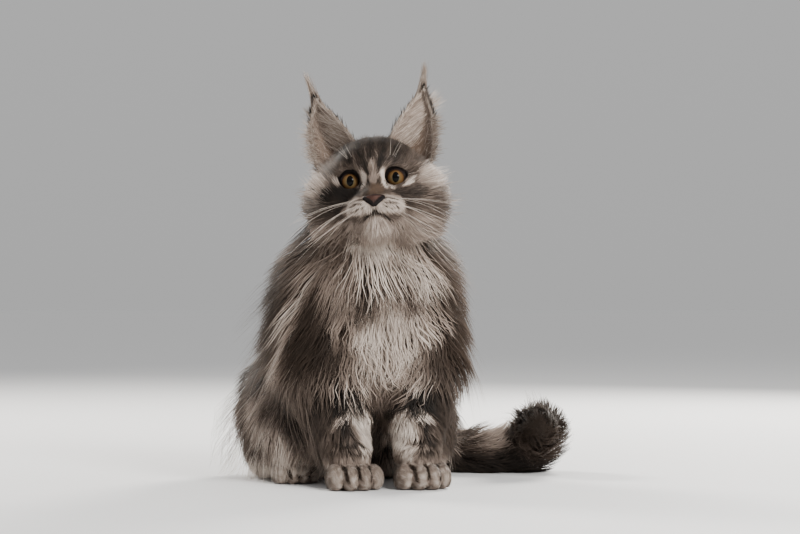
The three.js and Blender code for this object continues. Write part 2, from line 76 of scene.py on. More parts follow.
def mix(a, b, k):
    return a + (b - a) * k


def smooth(low, high, x):
    k = np.clip((x - low) / (high - low), 0, 1)
    return k * k * (3 - 2 * k)


def bump(x, centre, half, soft):
    """1 within half of centre, falling to 0 over the next soft."""
    return 1 - smooth(half, half + soft, np.abs(x - centre))


def unit(v):
    return v / np.maximum(np.linalg.norm(v, axis=-1, keepdims=True), 1e-9)


def dot(a, b):
    return np.sum(a * b, axis=-1, keepdims=True)


def turn(axis, degrees):
    return np.array(Matrix.Rotation(math.radians(degrees), 3, axis))


def ripple(p, size, seed, waves=7):
    """A smooth, repeatable unevenness, about -1 to 1, with features of about the given size."""
    draw = np.random.default_rng(seed)
    ways = unit(draw.normal(size=(waves, 3))) * draw.uniform(0.7, 1.5, (waves, 1))
    phase = draw.uniform(0, 2 * math.pi, waves)
    return np.sin(p @ ways.T * (2 * math.pi / size) + phase).sum(axis=1) / math.sqrt(waves)


# Forms of the flesh: distance outside them, with a share of their coat on them


def oval(centre, radii, coat=0, tilt=0):
    middle, radii = array(*centre), array(*radii)
    lean = turn("X", tilt)

    def distance(p, share):
        q = (p - middle) @ lean
        near = np.linalg.norm(q / radii, axis=1)
        slope = np.linalg.norm(q / radii**2, axis=1)
        return near * (near - 1) / np.maximum(slope, 1e-6) - coat * share

    return distance


def rod(start, end, radii, coats=(0, 0)):
    start, span = array(*start), array(*end) - array(*start)

    def distance(p, share):
        k = np.clip((p - start) @ span / (span @ span), 0, 1)
        away = np.linalg.norm(p - start - k[:, None] * span, axis=1)
        return away - mix(*radii, k) - mix(*coats, k) * share

    return distance


def meet(a, b, soft):
    k = np.maximum(soft - np.abs(a - b), 0) / soft
    return np.minimum(a, b) - k * k * soft / 4


def curve_through(points, steps=12):
    """A smooth line through the points."""
    p = np.array(points, float)
    p = np.vstack((2 * p[0] - p[1], p, 2 * p[-1] - p[-2]))
    k = np.linspace(0, 1, steps, endpoint=False)[:, None]
    parts = [
        0.5 * (2 * b + (c - a) * k + (2 * a - 5 * b + 4 * c - d) * k**2 + (3 * b - a - 3 * c + d) * k**3)
        for a, b, c, d in zip(p, p[1:], p[2:], p[3:])
    ]
    return np.vstack((*parts, p[-2:-1]))


class Limb:
    """Forms along a spine. s runs from 0 to 1 along it."""

    def __init__(self, name, spine, forms, soft, place=None, lie=None):
        self.name, self.forms, self.soft = name, forms, soft
        self.turned, self.origin = place or (np.eye(3), np.zeros(3))
        self.spine = self.world(curve_through(spine))
        self.ways = unit(np.gradient(self.spine, axis=0))
        self.lie_at = lie or (lambda p, way: way)

    def world(self, p):
        return p @ self.turned.T + self.origin

    def local(self, p):
        return (p - self.origin) @ self.turned

    def outside(self, p, share):
        q = self.local(p)
        nearest = self.forms[0](q, share)
        for form in self.forms[1:]:
            nearest = meet(nearest, form(q, share), self.soft)
        return nearest

    def nearest(self, p):
        """For each point, s and the spine's place and direction there."""
        far = ((p[:, None, :] - self.spine[None, ::3, :]) ** 2).sum(axis=2)
        i = np.argmin(far, axis=1) * 3
        return i / (len(self.spine) - 1), self.spine[i], self.ways[i]

    def lie(self, p):
        return self.lie_at(p, self.nearest(p)[2])


def pair(make):
    return [make(side) for side in SIDES]


head_turn = turn("Z", HEAD_YAW) @ turn("X", HEAD_PITCH) @ turn("Y", HEAD_ROLL)
head_place = (head_turn, EYES_AT)
NOSE = array(0, -30, -20)


def head_lie(p, way):
    q = (p - EYES_AT) @ head_turn
    out = q - (NOSE + array(0, 14, 3))
    out[:, 1] += 10
    out[:, 2] -= 6 * smooth(-5, -25, q[:, 2])
    return unit(out) @ head_turn.T


head = Limb(
    "head",
    [(0, 34, 0), (0, 14, -6), (FACE_MIDDLE, -6, -14)],
    [
        oval((0, 26, 6), (35.5, 36.5, 28.5), 4.9),  # cranium
        oval((0, 2, 11), (28, 16, 17), 2),  # brow
        *pair(lambda side: oval((side * 22, 8, -15), (18, 18, 17), 3)),  # cheeks
        *pair(lambda side: oval((side * 30, 24, -16), (15, 20, 20), 16)),  # the ruff behind them
        oval((0, 10, -31), (20, 23, 13), 11),  # jaw
        oval((FACE_MIDDLE, -10, -22), (16, 15, 12), 2),  # muzzle
        # The whisker pads
        *pair(lambda side: oval((FACE_MIDDLE + side * 9.6, -18.6, -27), (10.4, 9.2, 7.6), 1.6)),
        rod((0, -2, 3), (FACE_MIDDLE, -22, -16), (8.8, 5.2), (1.6, 1)),  # bridge of the nose
        oval((FACE_MIDDLE, -14, -38.5), (9, 8.6, 7), 3),  # chin
    ],
    soft=7,
    place=head_place,
    lie=head_lie,
)


def parted(middle, width, aside, onward):
    """A lie that turns away from a middle line on both sides and onward everywhere."""

    def lie(p, way):
        apart = np.clip((p[:, 0] - middle) / width, -1, 1)
        return way + apart[:, None] * array(aside, 0, 0) + array(*onward)

    return lie


trunk = Limb(
    "trunk",
    [(-6, -84, 226), (-1, -76, 186), (0, -64, 150), (0, -44, 112), (0, -16, 74), (0, 10, 44), (0, 22, 26)],
    [
        oval((-3, -80, 202), (31, 27, 32), 35, 12),  # neck
        oval((2, -66, 154), (43, 30, 36), 40, 20),  # shoulders
        oval((0, -46, 116), (46, 40, 54), 38, 30),  # ribs
        oval((0, -14, 78), (44, 38, 44), 36, 34),  # loin
        oval((0, 14, 40), (42, 36, 36), 30, 30),  # pelvis
        oval((0, 18, 14), (34, 30, 14), 16),  # the seat on the floor
    ],
    soft=14,
    lie=parted(2, 45, 0.6, (0, 0, -0.45)),
)

PAW_APART, PAW_AT, TOES = 27, -110, 4
STEP = {-1: 0, 1: -9}  # the left front paw stands a little ahead


def foreleg(side):
    step = STEP[side]
    elbow = (side * 35, -78, 92)
    wrist = (side * (PAW_APART + 1), PAW_AT + 5 + step, 28)
    return Limb(
        "foreleg",
        [(side * 34, -74, 142), (side * 36, -76, 112), elbow, (side * 31, -92 + step / 2, 58), wrist],
        [
            rod((side * 34, -72, 144), elbow, (18, 16), (36, 34)),
            rod(elbow, wrist, (14.5, 11), (22, 8)),
            rod(wrist, (side * PAW_APART, PAW_AT + step, 14), (11, 11), (6, 3)),
        ],
        soft=8,
        lie=parted(side * 31, 22, 0.5, (0, 0.25, -0.3)),
    )


def toes_of(centre, radii, spread, forward):
    x, y, z = centre
    places = [(i - (TOES - 1) / 2) * spread for i in range(TOES)]
    ahead = [0, -forward, -forward, 0]
    return [oval((x + dx, y + dy, z), radii, 2, 8) for dx, dy in zip(places, ahead)]


def forepaw(side):
    x, y = side * PAW_APART, PAW_AT + STEP[side]
    return Limb(
        "forepaw",
        [(x, y + 6, 26), (x, y - 2, 14), (x, y - 14, 8)],
        [
            oval((x, y - 1, 12), (16.5, 15, 13), 2),
            oval((x, y + 4, 22), (11, 11, 12), 3),
            *toes_of((x, y - 11, 9.2), (5.9, 11, 9.4), 10.4, 6),
        ],
        soft=2,
        lie=lambda p, way: array(0, -1, -0.35) + 0 * p,
    )


def thigh(side):
    return Limb(
        "thigh",
        [(side * 38, 0, 84), (side * 46, -6, 54), (side * 50, -12, 14)],
        [
            oval((side * 43, -6, 56), (24, 44, 40), 26, 12),
            oval((side * 52, -38, 46), (15, 19, 20), 19),  # knee
            oval((side * 43, 14, 28), (19, 28, 24), 18),  # buttock
        ],
        soft=12,
        lie=lambda p, way: way + array(side * 0.1, 0.35, -0.2),
    )


def hindfoot(side):
    return Limb(
        "hindfoot",
        [(side * 48, 22, 12), (side * 52, -12, 11), (side * 54, -44, 8)],
        [
            rod((side * 48, 26, 11), (side * 54, -38, 9), (10, 11), (8, 3)),
            *toes_of((side * 55, -48, 8.4), (5.4, 10.4, 8.7), 8.6, 5),
        ],
        soft=2,
        lie=lambda p, way: way + array(side * 0.25, 0, -0.2),
    )


TAIL_PATH = [
    (0, 34, 20), (22, 58, 16), (56, 60, 15), (92, 36, 15), (126, 12, 15),
    (151, 0, 16), (167, -4, 21), (173, -12, 31), (169, -22, 37), (164, -32, 39),
]  # fmt: skip


def tail_forms():
    last = len(TAIL_PATH) - 1
    for i, (start, end) in enumerate(zip(TAIL_PATH, TAIL_PATH[1:])):
        radii = [mix(9.5, 6, j / last) for j in (i, i + 1)]
        coats = [mix(17, 20, j / last) for j in (i, i + 1)]
        yield rod(start, end, radii, coats)


tail = Limb("tail", TAIL_PATH, list(tail_forms()), soft=5)

limbs = [head, trunk, *pair(foreleg), *pair(forepaw), *pair(thigh), *pair(hindfoot), tail]

# What is cut into the head: the eyes' sockets and the line of the mouth


def line_distance(p, points):
    return np.minimum.reduce([rod(a, b, (0, 0))(p, 0) for a, b in zip(points, points[1:])])


def face(x, y, z):
    """A place on the face, from the middle of the nose and mouth."""
    return FACE_MIDDLE + x, y, z


def lip(side):
    out = ((5, -26.5, -35.2), (11, -21, -37), (17, -12, -36))
    return [face(0.6, -28, -33.4), *(face(side * x, y, z) for x, y, z in out)]


MOUTH = [[face(0, -30, -25), face(0.3, -30.5, -29.5), face(0.6, -28, -33.8)], *pair(lip)]


def toe_clefts():
    """Lines down between the toes of all four feet."""
    for side in SIDES:
        fore = (side * PAW_APART, PAW_AT + STEP[side] - 11, 10.4, 20, 17)
        feet = (fore, (side * 55, -48, 8.6, 17, 14))
        for x, y, spread, ahead, top in feet:
            for i in (-1, 0, 1):
                at = x + i * spread
                low = (at, y - ahead * 0.95, 6)
                yield [(at, y + 4, top + 2), (at, y - ahead * 0.55, top), low, (at, y - ahead, 0)]


CLEFTS = list(toe_clefts())


def face_cuts(q):
    """How far a point in the head's frame is inside what is cut away."""
    sockets = [oval((side * EYE_APART, -8, 0), (8.8, 9, 7.8))(q, 0) for side in SIDES]
    lines = [line_distance(q, points) - 1.0 for points in MOUTH]
    return -np.minimum.reduce(sockets + lines)


def toe_cuts(p):
    """How far a point is inside the clefts."""
    away = np.full(len(p), 9.0)
    low = p[:, 2] < 30
    if low.any():
        away[low] = np.minimum.reduce([line_distance(p[low], points) for points in CLEFTS]) - 1.5
    return -away


def body(p, share=SKIN):
    nearest = limbs[0].outside(p, share)
    for limb in limbs[1:]:
        nearest = meet(nearest, limb.outside(p, share), JOIN)
    return nearest


def skin_field(p):
    cuts = np.maximum(face_cuts(head.local(p)), toe_cuts(p))
    return -meet(-body(p), -cuts, 1.2)


def slope_of(field, p, step=0.3):
    here = field(p)
    rise = [field(p + step * way) - here for way in np.eye(3)]
    return here, np.stack(rise, axis=1) / step


def settle(p, field):
    """Moves points onto the surface where the field is 0."""
    for _ in range(3):
        away, slope = slope_of(field, p)
        p = p - slope * (away / np.maximum((slope**2).sum(axis=1), 0.2))[:, None]
    return p


def net_over(field, low, high, cell):
    """Points and four-sided faces of the surface where the field is 0."""
    ticks = [np.arange(a, b, cell) for a, b in zip(low, high)]
    grid = np.stack(np.meshgrid(*ticks, indexing="ij"), axis=-1)
    inside = (field(grid.reshape(-1, 3)) < 0).reshape(grid.shape[:3])
    a, b, c = shape = tuple(n - 1 for n in inside.shape)
    offsets = [(i, j, k) for i in (0, 1) for j in (0, 1) for k in (0, 1)]
    full = sum(inside[i : i + a, j : j + b, k : k + c].astype(int) for i, j, k in offsets)
    crossed = (full > 0) & (full < 8)
    number = np.full(shape, -1)
    number[crossed] = np.arange(crossed.sum())
    points = grid[:-1, :-1, :-1][crossed] + cell / 2
    faces = []
    for axis in range(3):
        a = np.moveaxis(inside, axis, 0)
        n = np.moveaxis(number, axis, 0)
        change = (a[:-1, 1:-1, 1:-1] != a[1:, 1:-1, 1:-1]) & (n[:, 1:, 1:] >= 0)
        i, j, k = np.nonzero(change)
        quad = np.stack((n[i, j, k], n[i, j + 1, k], n[i, j + 1, k + 1], n[i, j, k + 1]), axis=1)
        outward = a[i, j + 1, k + 1]
        flip = outward if axis != 1 else ~outward
        quad[~flip] = quad[~flip][:, ::-1]
        faces.append(quad)
    return settle(points, field), np.vstack(faces)


# Meshes


def link(name, data):
    thing = bpy.data.objects.new(name, data)
    bpy.context.scene.collection.objects.link(thing)
    return thing


def new_mesh(name, points, faces):
    mesh = bpy.data.meshes.new(name)
    mesh.from_pydata((np.asarray(points) * MM).tolist(), [], [tuple(int(i) for i in face) for face in faces])
    mesh.shade_smooth()
    return link(name, mesh)


def points_of(mesh):
    co = np.zeros(len(mesh.vertices) * 3, np.float32)
    mesh.vertices.foreach_get("co", co)
    return co.reshape(-1, 3).astype(float) / MM


def place_points(mesh, points):
    mesh.vertices.foreach_set("co", (points * MM).astype(np.float32).ravel())


def paint(mesh, name, *values):
    """Four values for each point, which a material reads as a colour."""
    colour = np.stack(np.broadcast_arrays(*values), axis=-1)
    drawn = mesh.color_attributes.new(name, "FLOAT_COLOR", "POINT")
    drawn.data.foreach_set("color", colour.astype(np.float32).ravel())


def finish_piece(piece, material):
    piece.data.materials.append(material)
    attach(piece, "root")


SKIN_BOX = ((-90, -165, -4), (200, 90, 300))  # all of the skin lies within it
FINE_REACH = 34  # of the finer net around the face
SKIN_FLOOR, FUR_FLOOR = 0.4, 0.3  # the lowest that skin and fur come above the floor


def make_skin():
    points, faces = net_over(skin_field, *SKIN_BOX, CELL)
    skin = new_mesh("skin", points, faces)
    work = bmesh.new()
    work.from_mesh(skin.data)
    bmesh.ops.subdivide_edges(work, edges=work.edges[:], cuts=1, use_grid_fill=True)
    near_face = Vector(head.world(array(0, -16, -12)) * MM)
    close = [e for e in work.edges if (e.verts[0].co - near_face).length < FINE_REACH * MM]
    bmesh.ops.subdivide_edges(work, edges=close, cuts=1, use_grid_fill=True)
    work.to_mesh(skin.data)
    work.free()
    p = settle(points_of(skin.data), skin_field)
    p[:, 2] = np.maximum(p[:, 2], SKIN_FLOOR)
    place_points(skin.data, p)
    skin.data.update()
    return skin


skin = make_skin()

# The coat: tufts that root in the skin, follow the lie of the coat and rise to its outer depth

BLADE = array((-0.5, -0.5), (0.5, -0.5), (0, 0.5))  # a tuft's section: across, and out from the body
FLATNESS = 0.45
PATCH = 0.003  # width of a tuft's place in its texture
CLEAR = 0.3  # the share of another limb's coat that a tuft stays above
STRAY, SWIRL = 0.14, 0.25  # angles off the lie of the coat, by chance and in broad swirls
STEEPEST = 1.1  # how far a tuft may rise or sink for each step along it
TUFT_FLOOR = 0.8  # the lowest that a tuft's middle line comes
SIDE_SHARE = array(1.6, 1.2)  # how far a tuft's shading follows its own sides
FOLLOWING = 1.6  # and how far the lie of the coat
TAPER = ((0, 0.65), (0.3, 1), (0.7, 0.85), (0.9, 0.45))  # a tuft's width along it
LOWEST = np.array(cad_box[0]) / MM - array(12, 10, 0) + array(0, 0, FUR_FLOOR)  # the coat stays between these
HIGHEST = np.array(cad_box[1]) / MM + array(14, 12, 14)


def strand_faces(rings):
    """Triangles of one closed tapered strand: a cap, the sides and the point."""
    faces = [(0, 1, 2)]
    for r in range(rings - 1):
        for a in range(3):
            b = (a + 1) % 3
            low, high = 3 * r, 3 * (r + 1)
            faces += [(low + a, high + a, high + b), (low + a, high + b, low + b)]
    last = 3 * (rings - 1)
    faces += [(last + a, 3 * rings, last + (a + 1) % 3) for a in range(3)]
    return np.array(faces)


def strand_piece(name, lines, out, width, fur, patch, following=FOLLOWING):
    """A piece of closed strands along lines (count, rings + 1, 3), with the given widths, that face out."""
    count, rings = lines.shape[0], lines.shape[1] - 1
    lines = np.clip(lines, LOWEST, HIGHEST)
    along = unit(np.gradient(lines, axis=1))
    across = unit(np.cross(along, out))
    up = np.cross(across, along)

    def corners(middle, section):
        """The three corners of each ring about its middle."""
        middle, sideways, outward = (v[:, :rings, None, :] for v in (middle, across, up))
        ring = middle + sideways * section[..., :1] + outward * section[..., 1:]
        return ring.reshape(count, 3 * rings, 3)

    k = np.arange(rings) / rings
    wide = width[:, None] * np.interp(k, *zip(*TAPER))
    section = BLADE * array(1, FLATNESS) * wide[..., None, None]
    points = np.concatenate((corners(lines, section), lines[:, -1:, :]), axis=1)
    points[..., 2] = np.maximum(points[..., 2], FUR_FLOOR)
    facing = np.concatenate((corners(out * following, BLADE * SIDE_SHARE), out[:, -1:, :]), axis=1)
    size = 3 * rings + 1
    faces = (strand_faces(rings)[None] + size * np.arange(count)[:, None, None]).reshape(-1, 3)

    mesh = bpy.data.meshes.new(name)
    mesh.vertices.add(count * size)
    place_points(mesh, points)
    mesh.loops.add(faces.size)
    mesh.loops.foreach_set("vertex_index", faces.astype(np.int32).ravel())
    mesh.polygons.add(len(faces))
    mesh.polygons.foreach_set("loop_start", np.arange(0, faces.size, 3, dtype=np.int32))
    mesh.update(calc_edges=True)
    mesh.shade_smooth()
    mesh.normals_split_custom_set_from_vertices(unit(facing).reshape(-1, 3))

    k = np.append(np.repeat(k, 3), 1.0)
    # The share along each tuft, which the material turns into painted shade at the root
    paint(mesh, "fur", fur["tone"][:, None], fur["warm"][:, None], k, fur["chance"][:, None])

    corner = np.append(np.tile([-1.0, 1.0, 0.0], rings), 0.0)
    place = patch[:, None, :] + PATCH * np.stack((corner / 2, k - 0.5), axis=1)[None]
    chart = mesh.uv_layers.new(name="OFBake")
    chart.data.foreach_set("uv", place.reshape(-1, 2)[faces.ravel()].astype(np.float32).ravel())
    finish_piece(link(name, mesh), coat_material)


def unrolled(limb_index, p):
    """Where points on the skin lie in the texture: each limb is unrolled about its spine into a square."""
    place = np.empty((len(p), 2))
    for i, limb in enumerate(limbs):
        own = limb_index == i
        if not own.any():
            continue
        s, centre, way = limb.nearest(p[own])
        side = unit(np.cross(way, array(0.1, 0.3, 1)))
        third = np.cross(way, side)
        away = p[own] - centre
        angle = np.arctan2(dot(away, third), dot(away, side))[:, 0] / (2 * math.pi) + 0.5
        beyond = dot(away, way)[:, 0] / 200
        column, row = i % 4, i // 4
        place[own, 0] = (column + mix(0.03, 0.97, angle)) / 4
        place[own, 1] = (row + np.clip(mix(0.2, 0.8, s) + beyond, 0.03, 0.97)) / 4
    return place


def others(p, own_index, share):
    """Distance outside every limb but one."""
    nearest = np.full(len(p), 1e3)
    for i, limb in enumerate(limbs):
        if i != own_index:
            nearest = np.minimum(nearest, limb.outside(p, share))
    return nearest


def grow(roots, normals, limb_index, length, tip, steps, rise):
    """Lines of the tufts, and which way is out at each of their points."""
    p, n = roots.copy(), normals.copy()
    lines, out = [p], [n]
    stray = draw.normal(0, STRAY, len(p)) + SWIRL * ripple(p, 45, 5)
    for step in range(1, steps + 1):
        k = step / steps
        share = mix(SKIN, tip, 1 - (1 - k) ** rise)
        ahead, up = np.empty_like(p), np.empty_like(p)
        for i, limb in enumerate(limbs):
            own = limb_index == i
            if not own.any():
                continue
            q, normal = p[own], n[own]
            way = limb.lie(q)
            way = unit(way - normal * dot(way, normal))
            across = np.cross(normal, way)
            angle = stray[own][:, None]
            q = q + (way * np.cos(angle) + across * np.sin(angle)) * (length[own] / steps)[:, None]

            def field(x, limb=limb, i=i, share=share[own]):
                return np.minimum(limb.outside(x, share), others(x, i, CLEAR))

            away, slope = slope_of(field, q)
            slope = unit(slope)
            reach = (length[own] / steps) * STEEPEST
            q = q - slope * np.clip(away, -reach, reach)[:, None]
            ahead[own], up[own] = q, slope
        p, n = ahead, unit(n + up)
        p[:, 2] = np.maximum(p[:, 2], TUFT_FLOOR)
        lines.append(p)
        out.append(n)
    return np.stack(lines, axis=1), np.stack(out, axis=1)


def nearest_of(p, guides):
    """For each point, the number of its nearest guide."""
    found = np.empty(len(p), int)
    square = (guides**2).sum(axis=1)
    for start in range(0, len(p), 4000):
        block = p[start : start + 4000]
        found[start : start + 4000] = np.argmin(square - 2 * block @ guides.T, axis=1)
    return found


def clump(lines, roots, spacing, strength, area):
    """Draws the tips of the lines together around guides that stand this far apart."""
    count = max(4, int(area / spacing**2))
    chosen = draw.permutation(len(roots))[: min(count, len(roots))]
    guide = chosen[nearest_of(roots, roots[chosen])]
    k = np.linspace(0, 1, lines.shape[1])[None, :, None]
    target = lines[guide] + (roots - roots[guide])[:, None, :] * (1 - k) ** 0.8
    return mix(lines, target, np.reshape(strength, (-1, 1, 1)) * k**1.1), guide


def wave(lines, out, guide, length, size, reach):
    """Waves across the lines, alike within a clump, of the given wavelength and reach."""
    across = unit(np.cross(np.gradient(lines, axis=1), out))
    k = np.linspace(0, 1, lines.shape[1])[None, :]
    phase = (guide * 2.399) % (2 * math.pi)
    swing = np.sin(2 * math.pi * k * (length / size)[:, None] + phase[:, None])
    return lines + across * (swing * reach[:, None] * smooth(0, 0.35, k))[..., None]


def shorten(lines, keep):
    """The lines drawn again along their first share, keep."""
    steps = lines.shape[1] - 1
    at = np.linspace(0, 1, steps + 1)[None] * keep[:, None] * steps
    low = np.minimum(at.astype(int), steps - 1)
    row = np.arange(len(lines))[:, None]
    return mix(lines[row, low], lines[row, low + 1], (at - low)[..., None])


def bare(p):
    """Whether points lie over an eye or the nose, where no fur grows."""
    q = head.local(p)
    x, y, z = q[..., 0], q[..., 1], q[..., 2]
    found = np.zeros(p.shape[:-1], bool)
    for side in SIDES:
        along = side * (x - side * EYE_APART)
        corner = 2.6 * np.exp(-(((along + 8) / 3) ** 2) - ((z + 3) / 3) ** 2)
        found |= (np.hypot(along / (8.7 + corner), (z + 0.2) / 7.5) < 1) & (y < 6)
    down = -18.6 - z
    over_nose = (down > 0) & (np.abs(x - FACE_MIDDLE) < 8.2 * (1 - down / 9.6)) & (y < -20)
    return found | over_nose


FACE_REACH = 48  # tufts that root this near to the middle of the face may reach a bare place


def keep_clear(lines):
    """Shortens the lines that run over bare places, and says which are left."""
    samples = 10
    index = np.flatnonzero(np.linalg.norm(lines[:, 0] - head.world(array(0, -14, -8)), axis=1) < FACE_REACH)
    keep = np.ones(len(lines))
    along = [shorten(lines[index], np.full(len(index), i / samples))[:, -1] for i in range(samples + 1)]
    over = bare(np.stack(along, axis=1))
    first = np.where(over.any(axis=1), np.argmax(over, axis=1) - 1, samples)
    keep[index] = np.maximum(first, 0) / samples
    return shorten(lines, np.maximum(keep, 0.05)), keep > 0.25


# Markings, with painted light and shade among them. A tone runs from 0, the darkest slate, to 1, white


def layer(tone, value, mask):
    return mix(tone, value, np.clip(mask, 0, 1))


def spot(q, centre, radii, soft=1.5):
    away = np.linalg.norm((q - array(*centre)) / array(*radii), axis=1)
    return 1 - smooth(1, soft, away)


def spots(tone, q, soft, mask, places):
    for centre, radii, value in places:
        tone = layer(tone, value, spot(q, centre, radii, soft) * mask)
    return tone


def stroke(q, points, half, soft):
    """A line of colour along the points."""
    return 1 - smooth(half, half + soft, line_distance(q, points))


def strokes(tone, q, side, lines):
    """Lines of colour with their tone, half width, softness and points, which are given for the left side."""
    for value, half, soft, *points in lines:
        tone = layer(tone, value, stroke(q, [array(side, 1, 1) * p for p in points], half, soft))
    return tone


def stir(p, reach, size, seed):
    """How far to move each point to make the edges of the markings uneven, by up to reach or so."""
    return reach * np.stack([ripple(p, size, seed + i) for i in range(3)], axis=1)


DEEP = 60  # a spot's radius where it goes all the way through
BROW_LINES = (
    (0.14, 1.0, 1.4, (6.2, -14, 16), (5.4, -18, 4), (4.8, -22, -7)),
    (0.16, 1.3, 1.6, (12, -10, 20), (11.5, -14, 11)),
    (0.66, 1.3, 1.6, (15.5, -10, 12), (9, -14, 9)),
)
CHEEK_LINES = (
    (0.10, 1.2, 1.6, (9.5, -13, -6), (11, -14, -12), (16, -14, -16)),
    (0.13, 1.7, 3, (27, -6, 0), (40, 4, -2), (52, 20, -8)),
    (0.3, 3, 4, (20, -10, -15), (30, -8, -17), (44, 4, -16)),
    (0.2, 1.6, 3, (26, -10, -23), (38, 0, -27), (50, 14, -31)),
)
WHISKER_ROWS = (-21.5, -25, -28.8)


def head_markings_and_shade(p):
    q = head.local(p) + stir(p, 0.7, 11, 21)
    q[:, 0] -= FACE_MIDDLE * smooth(6, -20, q[:, 1])
    x, y, z = q.T
    wide = np.abs(x)
    tone = np.full(len(p), 0.46)
    tone = layer(tone, 0.26, spot(q, (0, 0, 25), (26, DEEP, 20), 1.3))  # the dark forehead
    turns = 2 * math.pi * x
    streak = 0.5 + 0.35 * np.cos(turns / (8.2 + 0.08 * z)) + 0.15 * np.cos(turns / 3.1 + 1)
    above = smooth(6, 14, z) * (1 - smooth(19, 27, wide))
    tone = layer(tone, 0.08, above * smooth(0.5, 0.95, streak) * 0.9)
    tone = layer(tone, 0.48, above * smooth(0.35, 0.0, streak) * smooth(30, 12, z))
    tone = layer(tone, 0.62, spot(q, (0, -16, 2), (3.2, 30, 10)))  # light bridge of the nose
    for side in SIDES:
        tone = strokes(tone, q, side, BROW_LINES)
        ring = np.hypot((x - side * (EYE_APART + 0.3)) / 12.0, (z + 1.6) / 11.4)
        ring = bump(ring, 0.94, 0.09, 0.16) * smooth(14, 4, y) * mix(1, 0.3, smooth(0, 7, z))
        tone = layer(tone, mix(0.92, 0.7, smooth(-5, 2, z)), ring)
        corner = spot(q, (side * 7.6, -13, -0.5), (1.5 + 0.3 * side, 30, 4), 1.8)
        tone = layer(tone, 0.86 + 0.05 * side, corner)
        tone = strokes(tone, q, side, CHEEK_LINES)
        tone = layer(tone, 0.72, spot(q, (side * 46, 14, 0), (8, 30, 12)))  # pale side of the face
    # The kitten's right cheek is painted darker than its left: partly dark fur, partly painted shade on the
    # side away from the key light
    tone = layer(tone, 0.04, spot(q, (-28, -8, -12), (14, 30, 6), 1.4))  # the dark right cheek, partly dark fur and partly painted shade
    tone = layer(tone, 0.16, spot(q, (-35, -2, -24), (9, 30, 11), 1.4) * 0.85)
    tone = layer(tone, 0.3, spot(q, (29, -8, -14), (11, 30, 4), 1.5) * 0.8)
    tone = layer(tone, 0.66, spot(q, (0, 10, -42), (48, 26, 13), 1.4))  # pale ruff under the cheeks
    warm = 0.32 * spot(q, (1.5, -24, -14), (4.6, 12, 5), 1.8)
    tone = layer(tone, 0.4, 2 * warm)
    pads = np.maximum.reduce([spot(q, (side * 10.5, -22, -26), (11.5, 16, 6.2), 1.6) for side in SIDES])
    tone = layer(tone, 0.88, np.maximum(pads, spot(q, (0, -16, -42), (8, 16, 6.5), 1.8) * 0.7))
    for side in SIDES:
        for height in WHISKER_ROWS:
            for i in range(4):
                place = (side * (10 + 2.7 * i), -22, height - 0.4 * i)
                tone = layer(tone, 0.15, spot(q, place, (0.75, 9, 0.6), 1.9) * 0.8)
    for points in MOUTH:
        tone = layer(tone, 0.05, stroke(q + array(FACE_MIDDLE, 0, 0), points, 0.8, 1.1))
    tone = layer(tone, 0.28, smooth(14, 34, y) * smooth(-22, 8, z) * 0.9)  # dark crown and nape
    band = 0.5 + 0.5 * np.cos(2 * math.pi * (x + 3) / 17)
    tone = layer(tone, 0.1, smooth(14, 30, y) * smooth(-10, 10, z) * band**2 * 0.7)
    return tone, warm


def flank_bands(p, seed):
    """A tabby's dark bands down the flanks and a dark line along the back, where the photo shows nothing."""
    x, y, z = (p + stir(p, 4, 34, seed)).T
    band = 0.5 + 0.5 * np.cos(2 * math.pi * (y - 0.45 * z) / 33)
    tone = mix(0.52, 0.14, smooth(0.35, 0.85, band))
    spine = (1 - smooth(7, 16, np.abs(x))) * smooth(-20, 10, y + 0.45 * (z - 60))
    return layer(tone, 0.08, spine)


# A pale band down the kitten's right flank and thigh: partly the coat's own pale, partly a painted highlight
# where light from behind catches that side
PALE_AND_RIM_LIT_BAND = [
    (-60, -92, 205), (-65, -104, 165), (-80, -88, 125), (-83, -84, 95), (-88, -34, 70),
    (-88, -38, 48), (-76, -62, 32), (-66, -64, 18), (-56, -66, 8),
]  # fmt: skip


BIB_SPOTS = (
    ((-46, -118, 176), (12, 40, 20), 0.58),
    ((-12, -130, 176), (24, 40, 15), 0.97),
    ((26, -125, 171), (20, 40, 10), 0.84),
    ((38, -120, 196), (16, 40, 9), 0.86),
    ((-13, -130, 146), (9, 40, 5), 0.27),
    ((13, -130, 146), (8, 40, 5), 0.27),
    ((-30, -125, 134), (13, 40, 6), 0.66),
    ((34, -125, 140), (12, 40, 7), 0.7),
    ((2, -125, 122), (24, 40, 21), 0.86),
    ((3, -122, 100), (15, 40, 18), 0.84),
    ((2, -115, 82), (7, 40, 16), 0.8),
)


def body_markings_and_painted_light(p):
    q = p + stir(p, 2.2, 24, 31)
    x, y, z = q.T
    tone = mix(0.46, flank_bands(p, 34), smooth(-82, -50, y))
    # Dark front of the right shoulder and right flank: partly dark fur, partly painted shade on the side away
    # from the key light
    tone = layer(tone, 0.07, spot(q, (-57, -105, 102), (15, 40, 52), 1.35))
    tone = layer(tone, 0.2, spot(q, (-78, -45, 130), (16, 34, 60), 1.3) * 0.8)
    tone = layer(tone, 0.28, spot(q, (56, -105, 112), (16, 40, 55), 1.4))
    # The pale band, partly a painted rim highlight
    tone = layer(tone, 0.85, stroke(q, PALE_AND_RIM_LIT_BAND, 5, 8) * 0.95)
    tone = spots(tone, q, 1.6, smooth(-82, -100, y), BIB_SPOTS)
    return tone, 0.04 + 0.05 * smooth(30, 60, np.abs(x))


